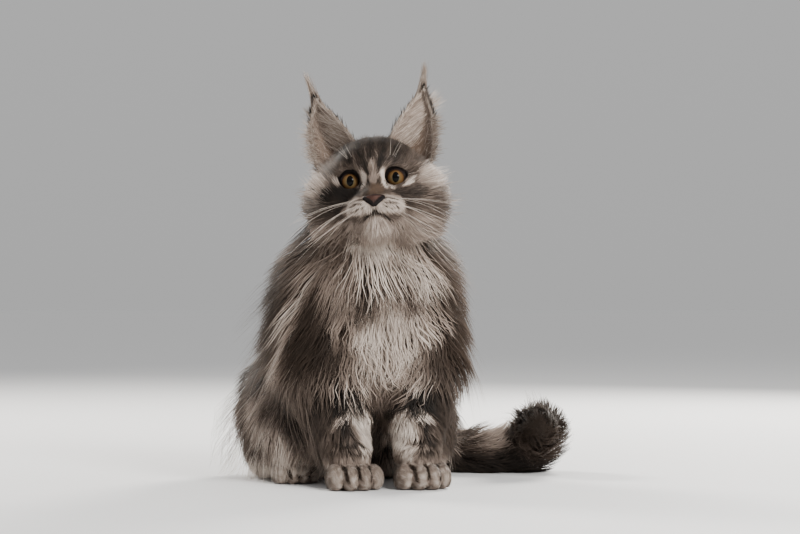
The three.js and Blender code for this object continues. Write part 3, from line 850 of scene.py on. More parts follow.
def leg_markings(p):
    q = p + stir(p, 1.4, 18, 41)
    tone = np.full(len(p), 0.46)
    for side in SIDES:
        x, y = side * 30, -112 + STEP[side]
        bars = (
            ((x, y, 65.5), (24, 50, 6.2), 0.03),
            ((x - side * 2, y, 82), (13, 50, 5.5), 0.78),
            ((x - side * 6, y, 57), (12, 50, 5), 0.88),
            ((x - side * 14, y, 42), (6, 40, 20), 0.92),
            ((x + side * 3, y, 47), (4, 30, 5), 0.14),
            ((x + side * 1, y, 36), (12, 50, 1.4), 0.1),
            ((x + side * 2, y, 29), (12, 50, 1.4), 0.12),
            ((x + side * 19, y + 20, 56), (9, 24, 14), 0.3),
        )
        tone = spots(tone, q, 1.5, p[:, 0] * side > 0, bars)
    tone = layer(tone, 0.74, 1 - smooth(17, 25, p[:, 2]))
    body_tone, warm = body_markings_and_painted_light(p)
    high = smooth(87, 95, q[:, 2])
    return mix(tone, body_tone, high), warm * high


def thigh_markings_and_rim_light(p):
    q = p + stir(p, 2, 22, 51)
    tone = layer(flank_bands(p, 54), 0.3, 0.35 + 0 * q[:, 0])
    # The pale band, partly a painted rim highlight
    tone = layer(tone, 0.85, stroke(q, PALE_AND_RIM_LIT_BAND, 5, 8) * 0.9)
    return layer(tone, 0.9, 1 - smooth(14, 26, p[:, 2])), np.zeros(len(p))


def tail_markings_and_shade(p):
    s, centre, _ = tail.nearest(p)
    # Light on top and dark underneath: painted shade on the tail's underside
    high = (p - centre)[:, 2] + 3 * ripple(p, 16, 61)
    tone = mix(0.14, 0.7, smooth(-3, 11, high))
    tone = layer(tone, 0.14, bump(s % 0.17, 0.09, 0.02, 0.03) * 0.55)
    tip = smooth(0.66, 0.8, s)
    end = tail.spine[-1]
    across = np.linalg.norm(p - end - dot(p - end, tail.ways[-1]) * tail.ways[-1], axis=1)
    return layer(tone, mix(0.0, 0.36, smooth(9, 22, across)), tip), 0.08 * tip


def paw_markings_and_shade(p):
    tone = 0.78 + 0.08 * ripple(p, 7, 71)
    # Painted shade in the clefts between the toes
    cleft = np.minimum.reduce([line_distance(p, points) for points in CLEFTS])
    tone = layer(tone, 0.1, smooth(2.4, 1.0, cleft))
    return layer(tone, 0.55, smooth(16, 30, p[:, 2]) * 0.6), np.full(len(p), 0.08)


MARKINGS = {
    "head": head_markings_and_shade,
    "trunk": body_markings_and_painted_light,
    "foreleg": leg_markings,
    "thigh": thigh_markings_and_rim_light,
    "tail": tail_markings_and_shade,
    "forepaw": paw_markings_and_shade,
    "hindfoot": paw_markings_and_shade,
}


BLEND = 4  # how far the markings of two limbs run into each other


def markings(p):
    """Tone and warmth at points, blended where two limbs meet."""
    away = np.stack([limb.outside(p, 0.6) for limb in limbs])
    weight = np.exp(-(away - away.min(axis=0)) / BLEND)
    weight[weight < 0.02] = 0
    weight /= weight.sum(axis=0)
    tone, warm = np.zeros(len(p)), np.zeros(len(p))
    for limb, share in zip(limbs, weight):
        some = share > 0
        if some.any():
            t, w = MARKINGS[limb.name](p[some])
            tone[some] += share[some] * t
            warm[some] += share[some] * w
    return np.clip(tone, 0, 1), warm


# Materials


def set_sockets(tree, node, sockets):
    """Sets a node's sockets to numbers or colours, or joins them to what other nodes put out."""
    for socket, value in sockets.items():
        if isinstance(value, bpy.types.NodeSocket):
            tree.links.new(value, node.inputs[socket])
        else:
            node.inputs[socket].default_value = value


def add_node(tree, kind, sockets=(), **settings):
    node = tree.nodes.new("ShaderNode" + kind)
    for name, value in settings.items():
        setattr(node, name, value)
    set_sockets(tree, node, dict(sockets))
    return node.outputs


def new_material(name):
    material = bpy.data.materials.new(name)
    material.use_nodes = True
    return material, material.node_tree


def set_shader(material, **values):
    sockets = {socket.replace("_", " "): value for socket, value in values.items()}
    set_sockets(material.node_tree, material.node_tree.nodes["Principled BSDF"], sockets)


def sum_of(tree, a, share, b):
    """a times share, plus b."""
    return add_node(tree, "Math", {0: a, 1: share, 2: b}, operation="MULTIPLY_ADD")["Value"]


def mixed(tree, share, a, b):
    """The colour a with a share of the colour b."""
    return add_node(tree, "Mix", {"Factor": share, "A": a, "B": b}, data_type="RGBA")["Result"]


def ramp_colour(tree, value, stops):
    node = tree.nodes.new("ShaderNodeValToRGB")
    own = node.color_ramp.elements
    for i, (at, colour) in enumerate(stops):
        stop = own[i] if i < 2 else own.new(at)
        stop.position, stop.color = at, (*colour, 1)
    tree.links.new(value, node.inputs["Fac"])
    return node.outputs["Color"]


RAMP = (
    (0.0, (0.005, 0.0034, 0.0023)),
    (0.25, (0.016, 0.0105, 0.0072)),
    (0.5, (0.080, 0.058, 0.045)),
    (0.75, (0.310, 0.243, 0.200)),
    (1.0, (0.700, 0.610, 0.530)),
)
WARM = (0.15, 0.085, 0.048, 1)
NOISE_SHARE, CHANCE_SHARE, ROOT_SHADE_SHARE = 0.10, 0.22, 0.18  # of fine noise, of chance, and of painted shade that darkens a tuft from its tip down to its root
BALANCE = 0.16 + ROOT_SHADE_SHARE * 0.55  # what these add in the middle


def fur_material(name):
    """Fur by its tone, which rises from a tuft's root to its tip: the darker root is painted shade."""
    material, tree = new_material(name)
    set_shader(material, Roughness=0.6, Specular_IOR_Level=0.2)
    set_shader(material, Sheen_Weight=0.03, Sheen_Roughness=0.4, Sheen_Tint=(1, 0.96, 0.92, 1))
    fur = add_node(tree, "Attribute", attribute_name="fur")
    parts = add_node(tree, "SeparateColor", {"Color": fur["Color"]})
    place = add_node(tree, "TexCoord")["Object"]
    noise = add_node(tree, "TexNoise", {"Scale": 260, "Detail": 2, "Vector": place})
    tone = sum_of(tree, noise["Fac"], NOISE_SHARE, parts["Red"])
    tone = sum_of(tree, fur["Alpha"], CHANCE_SHARE, tone)
    tone = sum_of(tree, parts["Blue"], ROOT_SHADE_SHARE, tone)
    tone = add_node(tree, "Math", {0: tone, 1: BALANCE}, operation="SUBTRACT")["Value"]
    set_shader(material, Base_Color=mixed(tree, parts["Green"], ramp_colour(tree, tone, RAMP), WARM))
    return material


coat_material = fur_material("coat")
skin_material = fur_material("skin")

skin_tone, skin_warm = markings(points_of(skin.data))
# The skin takes a tuft's share 0.35 along it, so a little of the painted root shade
paint(skin.data, "fur", skin_tone, skin_warm, 0.35, 0.5)
finish_piece(skin, skin_material)
flesh = [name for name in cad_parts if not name.startswith("eye") and name != "nose"]
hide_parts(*flesh)

# The coat's roots

draw = np.random.default_rng(7)
# Between tufts, and of a tuft, by the coat's depth
SPACING = ((1, 0.58), (2, 0.66), (3, 0.76), (6, 1.03), (16, 1.54), (38, 1.80))
WIDTH = ((1, 0.3), (2, 0.36), (3, 0.42), (6, 0.54), (16, 0.72), (38, 0.78))
# A tuft's length by the coat's depth on each limb, and how much wider apart than elsewhere the tufts stand
LONG = {"head": 1.75, "trunk": 1.45, "foreleg": 1.35, "forepaw": 2.4}
LONG |= {"thigh": 1.5, "hindfoot": 2.4, "tail": 1.6}
SPARSE = {"forepaw": 1.25, "hindfoot": 1.25}


def by_depth(table, depth):
    return np.interp(depth, *zip(*table))


def limb_at(p):
    return np.argmin(np.stack([limb.outside(p, SKIN) for limb in limbs]), axis=0)


def factor(table, index):
    return np.array([table.get(limb.name, 1) for limb in limbs])[index]


def scatter():
    """Places for the tufts, spread over the skin by the depth of the coat."""
    mesh = skin.data
    mesh.calc_loop_triangles()
    corners = np.empty(len(mesh.loop_triangles) * 3, np.int32)
    mesh.loop_triangles.foreach_get("vertices", corners)
    a, b, c = points_of(mesh)[corners.reshape(-1, 3)].transpose(1, 0, 2)
    cross = np.cross(b - a, c - a)
    area = np.linalg.norm(cross, axis=1) / 2
    centre = (a + b + c) / 3
    depth = body(centre, 0) - body(centre, 1)
    expected = area / (by_depth(SPACING, depth) * factor(SPARSE, limb_at(centre))) ** 2
    expected[(centre[:, 2] < 1.5) & (cross[:, 2] < 0)] = 0  # none underneath, where it stands on the floor
    expected[bare(centre)] = 0
    total = np.cumsum(expected)
    count = int(total[-1])
    pick = np.searchsorted(total, (np.arange(count) + draw.random(count)) * total[-1] / count)
    u, v = draw.random((2, count))
    flip = u + v > 1
    u[flip], v[flip] = 1 - u[flip], 1 - v[flip]
    u, v = u[:, None], v[:, None]
    roots = a[pick] + u * (b - a)[pick] + v * (c - a)[pick]
    return roots, unit(cross[pick]), depth[pick], area[pick] / np.maximum(expected[pick], 1e-9)


MOST = 190_000  # triangles in one piece


def dress(name, some, rings, rise, tip, long=1.0, wide=1.0, lighter=0.0, clumps=(), waves=None):
    """Grows the tufts with the given numbers and joins them in pieces."""
    p, n, own, ways = roots[some], normals[some], limb_index[some], length[some] * long
    lines, out = grow(p, n, own, ways, tip, rings, rise)
    guide = np.arange(len(some))
    for spacing, strength in clumps:
        lines, guide = clump(lines, p, spacing, strength, share_of_area[some].sum())
    if waves:
        size, reach = waves
        lines = wave(lines, out, guide, ways, size, reach * draw.uniform(0.5, 1.2, len(some)))
    lines, left = keep_clear(lines)
    mark = shorten(lines, np.full(len(some), 0.65))[:, -1]
    tone, warm = markings(mark)
    chance = mix(draw.random(len(some)), draw.random(len(some))[guide], 0.65)
    fur = {"tone": np.clip(tone + lighter, 0, 1), "warm": warm, "chance": chance}
    width = by_depth(WIDTH, coat[some]) * wide * draw.uniform(0.7, 1.2, len(some))
    order = np.flatnonzero(left)
    order = order[np.argsort(p[order, 2])]
    pieces = math.ceil(len(order) * (6 * rings - 2) / MOST)
    for i, part in enumerate(np.array_split(order, pieces)):
        own_fur = {key: value[part] for key, value in fur.items()}
        patch = patches[some][part]
        strand_piece(f"{name}_{i + 1}", lines[part], out[part], width[part], own_fur, patch)


roots, normals, coat, share_of_area = scatter()
limb_index = limb_at(roots)
patches = unrolled(limb_index, roots)
length = coat * factor(LONG, limb_index) * draw.uniform(0.75, 1.15, len(roots)) + 1.5
unevenness = 1 + 0.10 * ripple(roots, 17, 81)
tips = unevenness * draw.normal(1.06, 0.07, len(roots))
on_bib = spot(roots, (3, -100, 128), (36, 34, 62), 1.2) > draw.random(len(roots))
is_long = (length >= 22) & (coat > 9)
short = np.flatnonzero(length < 8)
middle = np.flatnonzero((length >= 8) & ~is_long)
bib = np.flatnonzero(is_long & on_bib)
long = np.flatnonzero(is_long & ~on_bib)
guard = draw.permutation(long)[:4800]
fuzz = draw.permutation(np.flatnonzero((coat > 2.2) & (coat < 17) & (limb_index == 0)))[:2600]
dress("coat_short", short, 2, 1.2, 1.15 * tips[short], clumps=((2.6, 0.25),))
dress("coat_middle", middle, 3, 1.15, 1.05 * tips[middle], clumps=((7, 0.3), (3.5, 0.4)))
dress("coat_long", long, 3, 1.15, tips[long], clumps=((15, 0.25), (5.5, 0.4)), waves=(46, 1.8))
dress("coat_bib", bib, 7, 1.3, tips[bib], wide=1.2, clumps=((17, 0.3), (7, 0.4)), waves=(27, 2.4))
dress("coat_fuzz", fuzz, 3, 0.9, draw.uniform(1.2, 2.0, len(fuzz)), 1.35, 0.5, 0.12, ((6, 0.3),))
wild = draw.uniform(1.1, 1.75, len(guard)) * (1 + 0.6 * smooth(-40, -70, roots[guard, 0]))
dress("coat_guard", guard, 4, 0.85, wild, 1.45, 0.32, 0.14, ((9, 0.5),), (70, 2.5))

# Eyes and their lids

GAZE = unit(array(-0.32, -0.945, -0.10))
CORNEA = 0.8  # how far it bulges
PUPIL = (2.7, 4.1)
IRIS_RAMP = (  # by the distance from the iris's middle, in centimetres
    (0.23, (0.050, 0.056, 0.034)),
    (0.36, (0.092, 0.072, 0.036)),
    (0.49, (0.125, 0.074, 0.030)),
    (0.63, (0.098, 0.050, 0.018)),
    (0.695, (0.034, 0.017, 0.008)),
    (0.74, (0.020, 0.014, 0.012)),
    (0.83, (0.010, 0.008, 0.008)),
)


def eye_axes(side):
    """Across, away from the nose, up and out of the opening between the lids."""
    m = turn("Z", side * 8) @ turn("Y", side * -10)
    axes = np.stack((m @ array(side, 0, 0), m @ array(0, 0, 1), m @ array(0, -1, 0)))
    return axes @ head_turn.T


def eye_centre(side):
    return head.world(array(side * EYE_APART, 0, 0))


def grid_faces(rows, columns, closed=True):
    """Four-sided faces of a grid of points whose columns may close into a ring."""
    i, j = np.meshgrid(np.arange(rows - 1), np.arange(columns if closed else columns - 1), indexing="ij")
    here, right = i * columns + j, i * columns + (j + 1) % columns
    return np.stack((here, right, right + columns, here + columns), axis=-1).reshape(-1, 4)


def tidy_faces(piece, fill=False):
    """Turns all faces outwards, after closing any open ends."""
    work = bmesh.new()
    work.from_mesh(piece.data)
    if fill:
        bmesh.ops.holes_fill(work, edges=[e for e in work.edges if e.is_boundary])
    bmesh.ops.recalc_face_normals(work, faces=work.faces)
    work.to_mesh(piece.data)
    work.free()
    piece.data.shade_smooth()


def make_eye(side, name):
    around, rings = 64, 40
    right = unit(np.cross(GAZE, array(0, 0, 1)))
    up = np.cross(right, GAZE)
    fall = np.linspace(0.002, math.pi - 0.002, rings)
    angle = np.linspace(0, 2 * math.pi, around, endpoint=False)
    fall, angle = np.meshgrid(fall, angle, indexing="ij")
    reach = EYE_RADIUS * np.sin(fall)
    front = EYE_RADIUS * np.cos(fall) + CORNEA * (1 - smooth(2, 7.6, reach)) * (fall < math.pi / 2)
    a, b = reach * np.cos(angle), reach * np.sin(angle)
    p = eye_centre(side) + a[..., None] * right + b[..., None] * up + front[..., None] * GAZE
    eye = new_mesh(name, p.reshape(-1, 3), grid_faces(rings, around))
    paint(eye.data, "iris", a / 10, b / 10, front / 10, 1)
    tidy_faces(eye, fill=True)
    finish_piece(eye, eye_material)
    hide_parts(name)


def eye_shading():
    """An iris of fine fibres, coloured by the distance from its middle, round an upright pupil."""
    material, tree = new_material("eye")
    set_shader(material, Roughness=0.3, Specular_IOR_Level=0)
    set_shader(material, Coat_Weight=0.4, Coat_Roughness=0.02, Coat_IOR=1.3)

    def vector(operation, source, by=(0, 0, 0)):
        out = add_node(tree, "VectorMath", {0: source, 1: by}, operation=operation)
        return out["Value" if operation == "LENGTH" else "Vector"]

    place = add_node(tree, "Attribute", attribute_name="iris")["Vector"]
    flat = vector("MULTIPLY", place, (1, 1, 0))
    fibre = add_node(tree, "TexNoise", {"Scale": 11, "Detail": 4, "Vector": vector("NORMALIZE", flat)})
    shifted = sum_of(tree, fibre["Fac"], 0.13, vector("LENGTH", flat))
    iris = ramp_colour(tree, shifted, IRIS_RAMP)
    lowered = vector("SUBTRACT", flat, (0, 0.09, 0))
    reach = vector("LENGTH", vector("MULTIPLY", lowered, (10 / PUPIL[0], 10 / PUPIL[1], 0)))
    edge = {"From Min": 0.95, "From Max": 1.06, "Value": reach}
    within = add_node(tree, "MapRange", edge, interpolation_type="SMOOTHSTEP")
    set_shader(material, Base_Color=mixed(tree, within["Result"], (0.002, 0.002, 0.002, 1), iris))
    return material


eye_material = eye_shading()
for side, name in zip(SIDES, ("eye_right", "eye_left")):
    make_eye(side, name)


UPPER_LID = {-1: 0.78, 1: 0.93}  # how far the upper lids are open
LID_THICK = 0.5


def lid_outline(angle, side):
    """The edge of the opening: rounded, with a corner that runs down towards the nose."""
    wide, high = EYE_OPENING
    a, b = wide * np.cos(angle), high * np.sin(angle)
    inner = np.exp(-(((angle - math.radians(202)) / 0.34) ** 2))
    outer = np.exp(-((np.minimum(angle, 2 * math.pi - angle) / 0.4) ** 2))
    b = np.where(b > 0, UPPER_LID[side] * b, b)
    return a - 2.4 * inner + 0.3 * outer, b - 1.5 * inner + 0.5 * outer


def height_on(field, base, way, low, high):
    """How far along a way from base the field's surface lies, coming from outside."""
    low, high = np.full(len(base), float(low)), np.full(len(base), float(high))
    for _ in range(22):
        middle = (low + high) / 2
        inside = field(base + middle[:, None] * way) < 0
        low, high = np.where(inside, middle, low), np.where(inside, high, middle)
    return low


# The rings of a lid: how far out from the opening's edge, height over the eyeball, share of the skin's height
LID_RINGS = (
    (0.95, -0.4, 0),
    (1.0, 0.15, 0),
    (1.02, 0.7, 0),
    (1.06, 1.05, 0.05),
    (1.13, 1.1, 0.3),
    (1.24, 0.9, 0.75),
    (1.36, 0.4, 1.0),
    (1.44, -0.4, 1.0),
)


def make_lids(side, name):
    angle = np.linspace(0, 2 * math.pi, 72, endpoint=False)
    a, b = lid_outline(angle, side)
    across, up, out = eye_axes(side)
    rings = []
    for reach, lift, share in LID_RINGS:
        high = b * reach + 0.8 * np.maximum(np.sin(angle), 0) * smooth(1.02, 1.36, reach)
        base = eye_centre(side) + (a * reach)[:, None] * across + high[:, None] * up
        ball = np.sqrt(np.maximum((EYE_RADIUS + lift) ** 2 - (a * reach) ** 2 - high**2, 6))
        on_skin = height_on(body, base, out, -12, 26) + lift - 0.5
        rings.append(base + mix(ball, on_skin, share)[:, None] * out)
    lids = new_mesh(name, np.vstack(rings), grid_faces(len(rings), len(angle))[:, ::-side])
    shell = lids.modifiers.new("thickness", "SOLIDIFY")
    shell.thickness, shell.offset = LID_THICK * MM, -1
    finish_piece(lids, lid_material)


def skin_shading(name, colour, dark, scale, roughness, strength, shine, darkest=None):
    """Bare skin: blotched colour under a fine pebbled bump, and darkest where the mesh says so."""
    material, tree = new_material(name)
    place = add_node(tree, "TexCoord")["Object"]
    noise = add_node(tree, "TexNoise", {"Scale": scale / 4, "Vector": place})
    base = ramp_colour(tree, noise["Fac"], ((0.35, dark), (0.65, colour)))
    if darkest:
        mask = add_node(tree, "Attribute", attribute_name="dark")
        base = mixed(tree, mask["Fac"], base, darkest)
    grain = add_node(tree, "TexVoronoi", {"Scale": scale, "Vector": place})["Distance"]
    bumps = add_node(tree, "Bump", {"Strength": strength, "Distance": 0.3 * MM, "Height": grain})["Normal"]
    set_shader(material, Roughness=roughness, Specular_IOR_Level=shine, Base_Color=base, Normal=bumps)
    return material


lid_material = skin_shading("lid_skin", (0.010, 0.008, 0.007), (0.005, 0.004, 0.004), 1800, 0.6, 0.3, 0.05)
for side, name in zip(SIDES, ("lids_right", "lids_left")):
    make_lids(side, name)

# The nose's bare skin. Its colour darkens round the nostrils


def nostrils(q):
    """Distance, seen from the front, from the dark slits that run down from the wings to the tip."""
    q = q * array(1, 0, 1)
    way = ((1.6, -26.2), (4.4, -23.4), (8.0, -20.9))
    slits = pair(lambda side: [face(side * x, 0, z) for x, z in way])
    return np.minimum.reduce([line_distance(q, points) for points in slits])


def nose_field(p):
    q = head.local(p)
    away = oval(face(0, -28.5, -20.3), (7.4, 3.7, 2.3))(q, 0)
    away = meet(away, oval(face(0, -29.6, -23.4), (2.6, 2.7, 4.0))(q, 0), 2)
    for side in SIDES:
        edge = rod(face(side * 7.2, -27.6, -20.8), face(side * 1.0, -29.6, -26.4), (1.7, 1.1))
        away = meet(away, edge(q, 0), 2)
    cleft = line_distance(q * array(1, 0, 1), [face(0, 0, -22.5), face(0.2, 0, -29)])
    front = smooth(-27, -29, q[:, 1])
    away = away + 0.7 * np.exp(-((nostrils(q) / 0.7) ** 2)) * front
    return away + 0.5 * np.exp(-((cleft / 0.45) ** 2)) * front


def make_nose():
    middle = head.world(array(FACE_MIDDLE, -28, -22))
    points, faces = net_over(nose_field, middle - 13, middle + 13, 0.5)
    nose = new_mesh("nose", points, faces)
    q = head.local(points)
    # Dark along the nostril slits: painted shade for the depth of the openings, which the mesh only grooves
    dark = smooth(2.6, 1.3, nostrils(q))
    dark = np.maximum(dark, smooth(4.5, 7, np.abs(q[:, 0] - FACE_MIDDLE)) * 0.9)
    dark = np.maximum(dark, smooth(-24.5, -26.5, q[:, 2]) * 0.95)
    dark = np.maximum(dark, smooth(-20.2, -18.8, q[:, 2]) * 0.7)
    paint(nose.data, "dark", dark, dark, dark, 1)
    finish_piece(nose, nose_material)
    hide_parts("nose")


nose_colours = (0.062, 0.029, 0.022), (0.040, 0.020, 0.016)
nose_material = skin_shading("nose_leather", *nose_colours, 1500, 0.5, 0.35, 0.12, (0.006, 0.004, 0.004, 1))
make_nose()

# Ears: a bent sheet each, as in the CAD

EAR_INNER = array((13, 21, 36), (25, 22, 60), (43.5, 27, 75))
EAR_OUTER = array((44, 33, 12), (57, 31, 48), (43.5, 27, 75))
EAR_CUP, EAR_THICK = 17, 1.1
EAR_LOW, EAR_HIGH = -0.16, 0.985  # the sheet's ends, of which the low one is in the head's fur
TUFT_LONG = 27
TUFT_LEAN = {-1: 0.32, 1: 0.14}


def bezier(points, k):
    a, b, c = points
    k = np.asarray(k)[..., None]
    return a * (1 - k) ** 2 + 2 * b * k * (1 - k) + c * k**2


def ear_point(side, u, v):
    """u runs across the ear from its inner to its outer edge, and v from its base to its tip."""
    bent = np.sin(math.pi * u) * EAR_CUP * np.clip(1 - v, 0, 1) ** 0.75
    p = mix(bezier(EAR_INNER, v), bezier(EAR_OUTER, v), np.asarray(u)[..., None])
    return (p + bent[..., None] * array(0.1, 1, 0)) * array(side, 1, 1)


def ear_axes(side, u, v):
    """Across, up and out of the cup, at places on an ear, in the head's frame."""
    u, v, step = np.clip(u, 0.02, 0.98), np.clip(v, -0.2, 0.96), 0.01
    across = unit(ear_point(side, u + step, v) - ear_point(side, u - step, v))
    up = unit(ear_point(side, u, v + step) - ear_point(side, u, v - step))
    return across, up, unit(np.cross(across, up)) * side


def make_ear(side, name):
    rows, columns = 44, 40
    v, u = np.meshgrid(np.linspace(EAR_LOW, EAR_HIGH, rows), np.linspace(0, 1, columns), indexing="ij")
    front = ear_axes(side, u, v)[2]
    edge = np.minimum(np.minimum(u, 1 - u) / 0.08, 1) ** 0.5
    half = (EAR_THICK * mix(1.2, 0.6, v) * mix(0.35, 1, edge))[..., None]
    centre = ear_point(side, u, v)
    points = head.world(np.stack((centre + half * front, centre - half * front)).reshape(-1, 3))
    size = rows * columns
    number = np.arange(size).reshape(rows, columns)
    rim = np.concatenate((number[0], number[1:, -1], number[-1, -2::-1], number[-2:0:-1, 0]))
    after = np.roll(rim, -1)
    sheet = grid_faces(rows, columns, closed=False)
    edges = np.stack((rim, rim + size, after + size, after), axis=1)
    faces = np.vstack((sheet[:, ::-1], sheet + size, edges))
    ear = new_mesh(name, points, faces)
    tidy_faces(ear)
    inside = np.repeat((1.0, 0.0), size)
    fold = np.tile((np.abs(u - 0.5) * 2).ravel(), 2)
    low = np.tile((1 - v).ravel(), 2)
    # Inside, darker in the middle of the cup and towards its base: painted shade in the cup
    tone = np.where(inside > 0, mix(0.62, 0.78, fold) - 0.12 * low, 0.34)
    paint(ear.data, "fur", tone, inside * 0.35, 0.5, 0.5)
    finish_piece(ear, skin_material)


def ear_patch(side, u, v):
    """The ears' places in the texture are in a row of their own."""
    return np.stack((mix(0.05, 0.45, u) + (0.5 if side > 0 else 0), mix(0.78, 0.98, v)), axis=1)


def ear_strands(side, u, v, way, length, bend, back, rings):
    """Lines from places on an ear. way gives shares of across, up and out, and bend moves their ends out."""
    across, up, front = ear_axes(side, u, v)
    out = -front if back else front
    start = ear_point(side, u, v) + out * EAR_THICK * 0.7
    k = np.linspace(0, 1, rings + 1)[None, :, None]
    heading = unit(across * way[:, :1] + up * way[:, 1:2] + out * way[:, 2:])
    lines = start[:, None, :] + heading[:, None, :] * k * length[:, None, None]
    return lines + out[:, None, :] * (bend * k**2), out


SEEN_ALL_ROUND = 0.3  # the shading of hair that stands clear of the ears follows its own sides


# Of each kind of hair: how many, where it starts across and up the ear, its way and the spread of its way,
# length, bend, width, tone, and how far apart its clumps are. Hair on the back comes first
EAR_HAIR = (
    ("back", 2100, (0, 1), (-0.1, 0.97), (0.1, 1, 0.25), 0.22, (6, 11), 0, 0.75, (0.3, 0.5), 0),
    ("down", 1700, (0.04, 0.98), (0.0, 0.93), (0.4, 1, 0.1), 0.2, (5, 10), 0, 0.3, (0.6, 0.78), 0),
    ("inner_rim", 520, (0, 0.06), (0.03, 0.97), (-0.25, 1, 0.05), 0.25, (4, 8), 0, 0.4, (0.7, 1), 0),
    ("outer_rim", 520, (0.94, 1), (0.03, 0.97), (0.35, 1, 0.05), 0.25, (4, 7), 0, 0.4, (0.75, 1), 0),
    ("long", 560, (0.02, 0.3), (0, 0.55), (0.55, 0.9, 0.3), 0.16, (20, 40), -9, 0.34, (0.7, 0.95), 4.5),
    ("fringe", 320, (0.72, 1), (0.02, 0.6), (1, 0.35, 0.2), 0.35, (9, 21), -3, 0.3, (0.7, 0.95), 3.5),
)


def ear_hair(side, name):
    """Short fur on the back, down inside, and long hair over the cup and past the edges."""
    for kind, count, us, vs, way, spread, long, bend, wide, tones, spacing in EAR_HAIR:
        u, v = draw.uniform(*us, count), draw.uniform(*vs, count)
        ways = array(*way) + draw.normal(0, spread, (count, 3)) * array(1, 1, 0.5)
        rings = 5 if spacing else 2
        lines, out = ear_strands(side, u, v, ways, draw.uniform(*long, count), bend, kind == "back", rings)
        if spacing:
            lines, _ = clump(lines, lines[:, 0], spacing, 0.5, 1500)
        following = FOLLOWING if kind in ("back", "down", "long") else SEEN_ALL_ROUND
        ear_piece(side, f"{name}_{kind}", u, v, lines, out, wide, draw.uniform(*tones, count), following)
    ear_tuft(side, name)


def ear_tuft(side, name, count=240):
    """Hairs from the upper part of an ear that run together and out past its tip."""
    u, v = draw.uniform(0, 1, count), draw.uniform(0.7, 0.98, count)
    tip_at = EAR_INNER[2] * array(side, 1, 1)
    share = draw.uniform(0.3, 1.02, count)[:, None] ** 0.7
    beyond = array(side * TUFT_LEAN[side], 0.03, 1) * TUFT_LONG
    end = tip_at + beyond * share + draw.normal(0, 1.5, (count, 3)) * share
    k = np.linspace(0, 1, 6)[None, :, None]
    start = ear_point(side, u, v)
    via = mix(start, tip_at, 0.45) + draw.normal(0, 0.5, (count, 3)) + array(0, 0, 3)
    lines = start[:, None] * (1 - k) ** 2 + 2 * via[:, None] * k * (1 - k) + end[:, None] * k**2
    out = ear_axes(side, u, v)[2]
    ear_piece(side, f"{name}_tuft", u, v, lines, out, 0.34, draw.uniform(0.55, 0.9, count), SEEN_ALL_ROUND)


def ear_piece(side, name, u, v, lines, out, wide, tone, following):
    count = len(u)
    out = np.broadcast_to((out @ head_turn.T)[:, None, :], lines.shape)
    fur = {"tone": tone, "warm": np.full(count, 0.12), "chance": draw.random(count)}
    width = wide * draw.uniform(0.7, 1.2, count)
    strand_piece(name, head.world(lines), out, width, fur, ear_patch(side, u, v), following)


for side, name in zip(SIDES, ("ear_right", "ear_left")):
    make_ear(side, name + "_skin")
    ear_hair(side, name)

# Whiskers and brow hairs


def whisker_piece(name, starts, ways, lengths, droop, width):
    k = np.linspace(0, 1, 10)[None, :, None]
    start, way = head.world(starts), unit(ways) @ head_turn.T
    lines = start[:, None] + way[:, None] * k * lengths[:, None, None]
    lines = lines + array(0, 0, -1) * droop[:, None, None] * k**2
    out = np.broadcast_to(array(0, 0, 1), lines.shape)
    count = len(starts)
    fur = {"tone": np.ones(count), "warm": np.zeros(count), "chance": np.full(count, 0.9)}
    strand_piece(name, lines, out, np.full(count, width), fur, np.full((count, 2), 0.99))


def whiskers(side, name):
    """Three rows of whiskers from the pad, and a few hairs over the eye."""
    starts, ways, ahead = [], [], array(0, -1, 0)
    for row, height in enumerate(WHISKER_ROWS):
        for i in range(5):
            base = array(FACE_MIDDLE + side * (9 + 2.7 * i), -40, height - 0.4 * i)
            depth = height_on(lambda p: head.outside(head.world(p), SKIN), base[None], ahead, -38, 0)
            starts.append(base + depth[0] * ahead)
            ways.append((side, 0.02 + 0.1 * i + 0.12 * (side > 0), 0.02 - 0.24 * row))
    lengths = draw.uniform(26, 62, len(starts))
    droop = lengths * draw.uniform(0.1, 0.45, len(starts))
    whisker_piece(name, np.array(starts), np.array(ways), lengths, droop, 0.32)
    count = 4
    x, z = side * draw.uniform(11, 19, count), draw.uniform(10, 13, count)
    starts = np.stack((x, np.full(count, -11), z), axis=1)
    ways = np.stack((side * draw.uniform(0.1, 0.8, count), np.full(count, -0.4), np.ones(count)), axis=1)
    lengths = draw.uniform(14, 24, count)
    whisker_piece(name.replace("whiskers", "brow_hairs"), starts, ways, lengths, lengths * 0.15, 0.18)


for side, name in zip(SIDES, ("whiskers_right", "whiskers_left")):
    whiskers(side, name)

# Camera and light

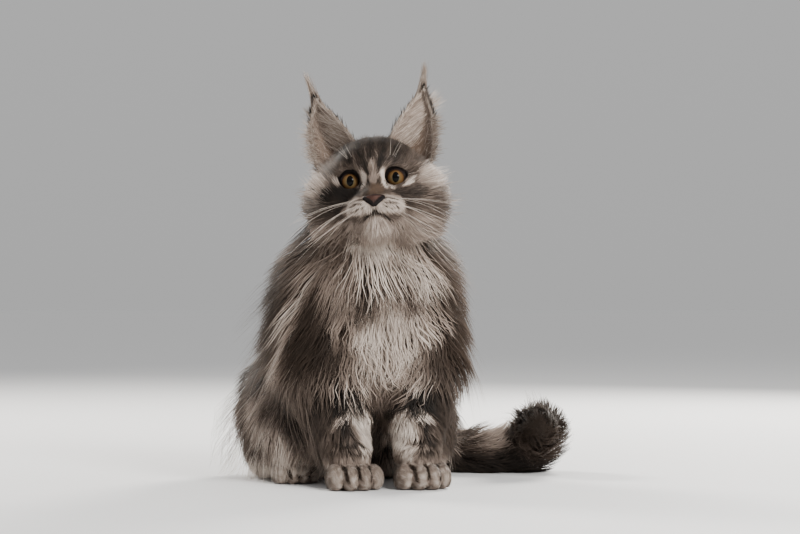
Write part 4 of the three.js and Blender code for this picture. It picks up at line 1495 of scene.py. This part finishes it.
VIEW_FROM = Vector((-0.4966, -1.6838, 0.150))
VIEW_ALONG = Vector((0.309, 0.951, 0.016))
LENS = 92.8  # on a sensor 36 mm wide
MIDDLE = Vector((0, -0.06, 0.18))
LIGHT_SIZE, WARM_LIGHT = 0.6, (1, 0.96, 0.9)


def put(thing, place, along):
    """Sets a camera or light at a place, turned along a direction."""
    along = Vector(along).normalized()
    right = along.cross(Vector((0, 0, 1))).normalized()
    above = right.cross(along)
    rows = [(right[i], above[i], -along[i], place[i]) for i in range(3)]
    thing.matrix_world = Matrix((*rows, (0, 0, 0, 1)))


def make_camera():
    lens = bpy.data.cameras.new("camera")
    lens.sensor_width, lens.lens = 36, LENS
    lens.clip_start, lens.clip_end = 0.05, 100
    camera = link("camera", lens)
    put(camera, VIEW_FROM, VIEW_ALONG)
    bpy.context.scene.camera = camera


def make_light(name, place, power, colour):
    lamp = bpy.data.lights.new(name, "AREA")
    lamp.shape, lamp.size, lamp.energy, lamp.color = "DISK", LIGHT_SIZE, power, colour
    put(link(name, lamp), place, MIDDLE - Vector(place))


make_camera()
make_light("key", (0.42, -1.62, 1.0), 40, (1, 0.985, 0.96))
make_light("rim_right", (1.1, 0.9, 0.9), 40, WARM_LIGHT)
make_light("rim_left", (-0.9, 1.3, 1.2), 45, WARM_LIGHT)

FLOOR = 0.8
SKY = 0.66
HAZE = 2 * FLOOR / (3 - FLOOR)  # the sky's share of light at the horizon, where the far floor is as bright


def make_world():
    world = bpy.data.worlds.new("studio")
    world.use_nodes = True
    tree = world.node_tree
    way = add_node(tree, "TexCoord")["Generated"]
    height = add_node(tree, "SeparateXYZ", {"Vector": way})["Z"]
    sky = ramp_colour(tree, height, ((0, (HAZE, HAZE, HAZE)), (1, (1, 1, 1))))
    set_sockets(tree, tree.nodes["Background"], {"Color": sky, "Strength": SKY})
    bpy.context.scene.world = world


make_world()


def make_floor():
    turns = np.linspace(0, 2 * math.pi, 96, endpoint=False)
    rim = 30_000 * np.stack((np.cos(turns), np.sin(turns), 0 * turns), axis=1)
    floor = new_mesh("floor", rim, [range(96)])
    material, _ = new_material("floor")
    set_shader(material, Roughness=0.7, Base_Color=(FLOOR, FLOOR, FLOOR, 1))
    floor.data.materials.append(material)


make_floor()
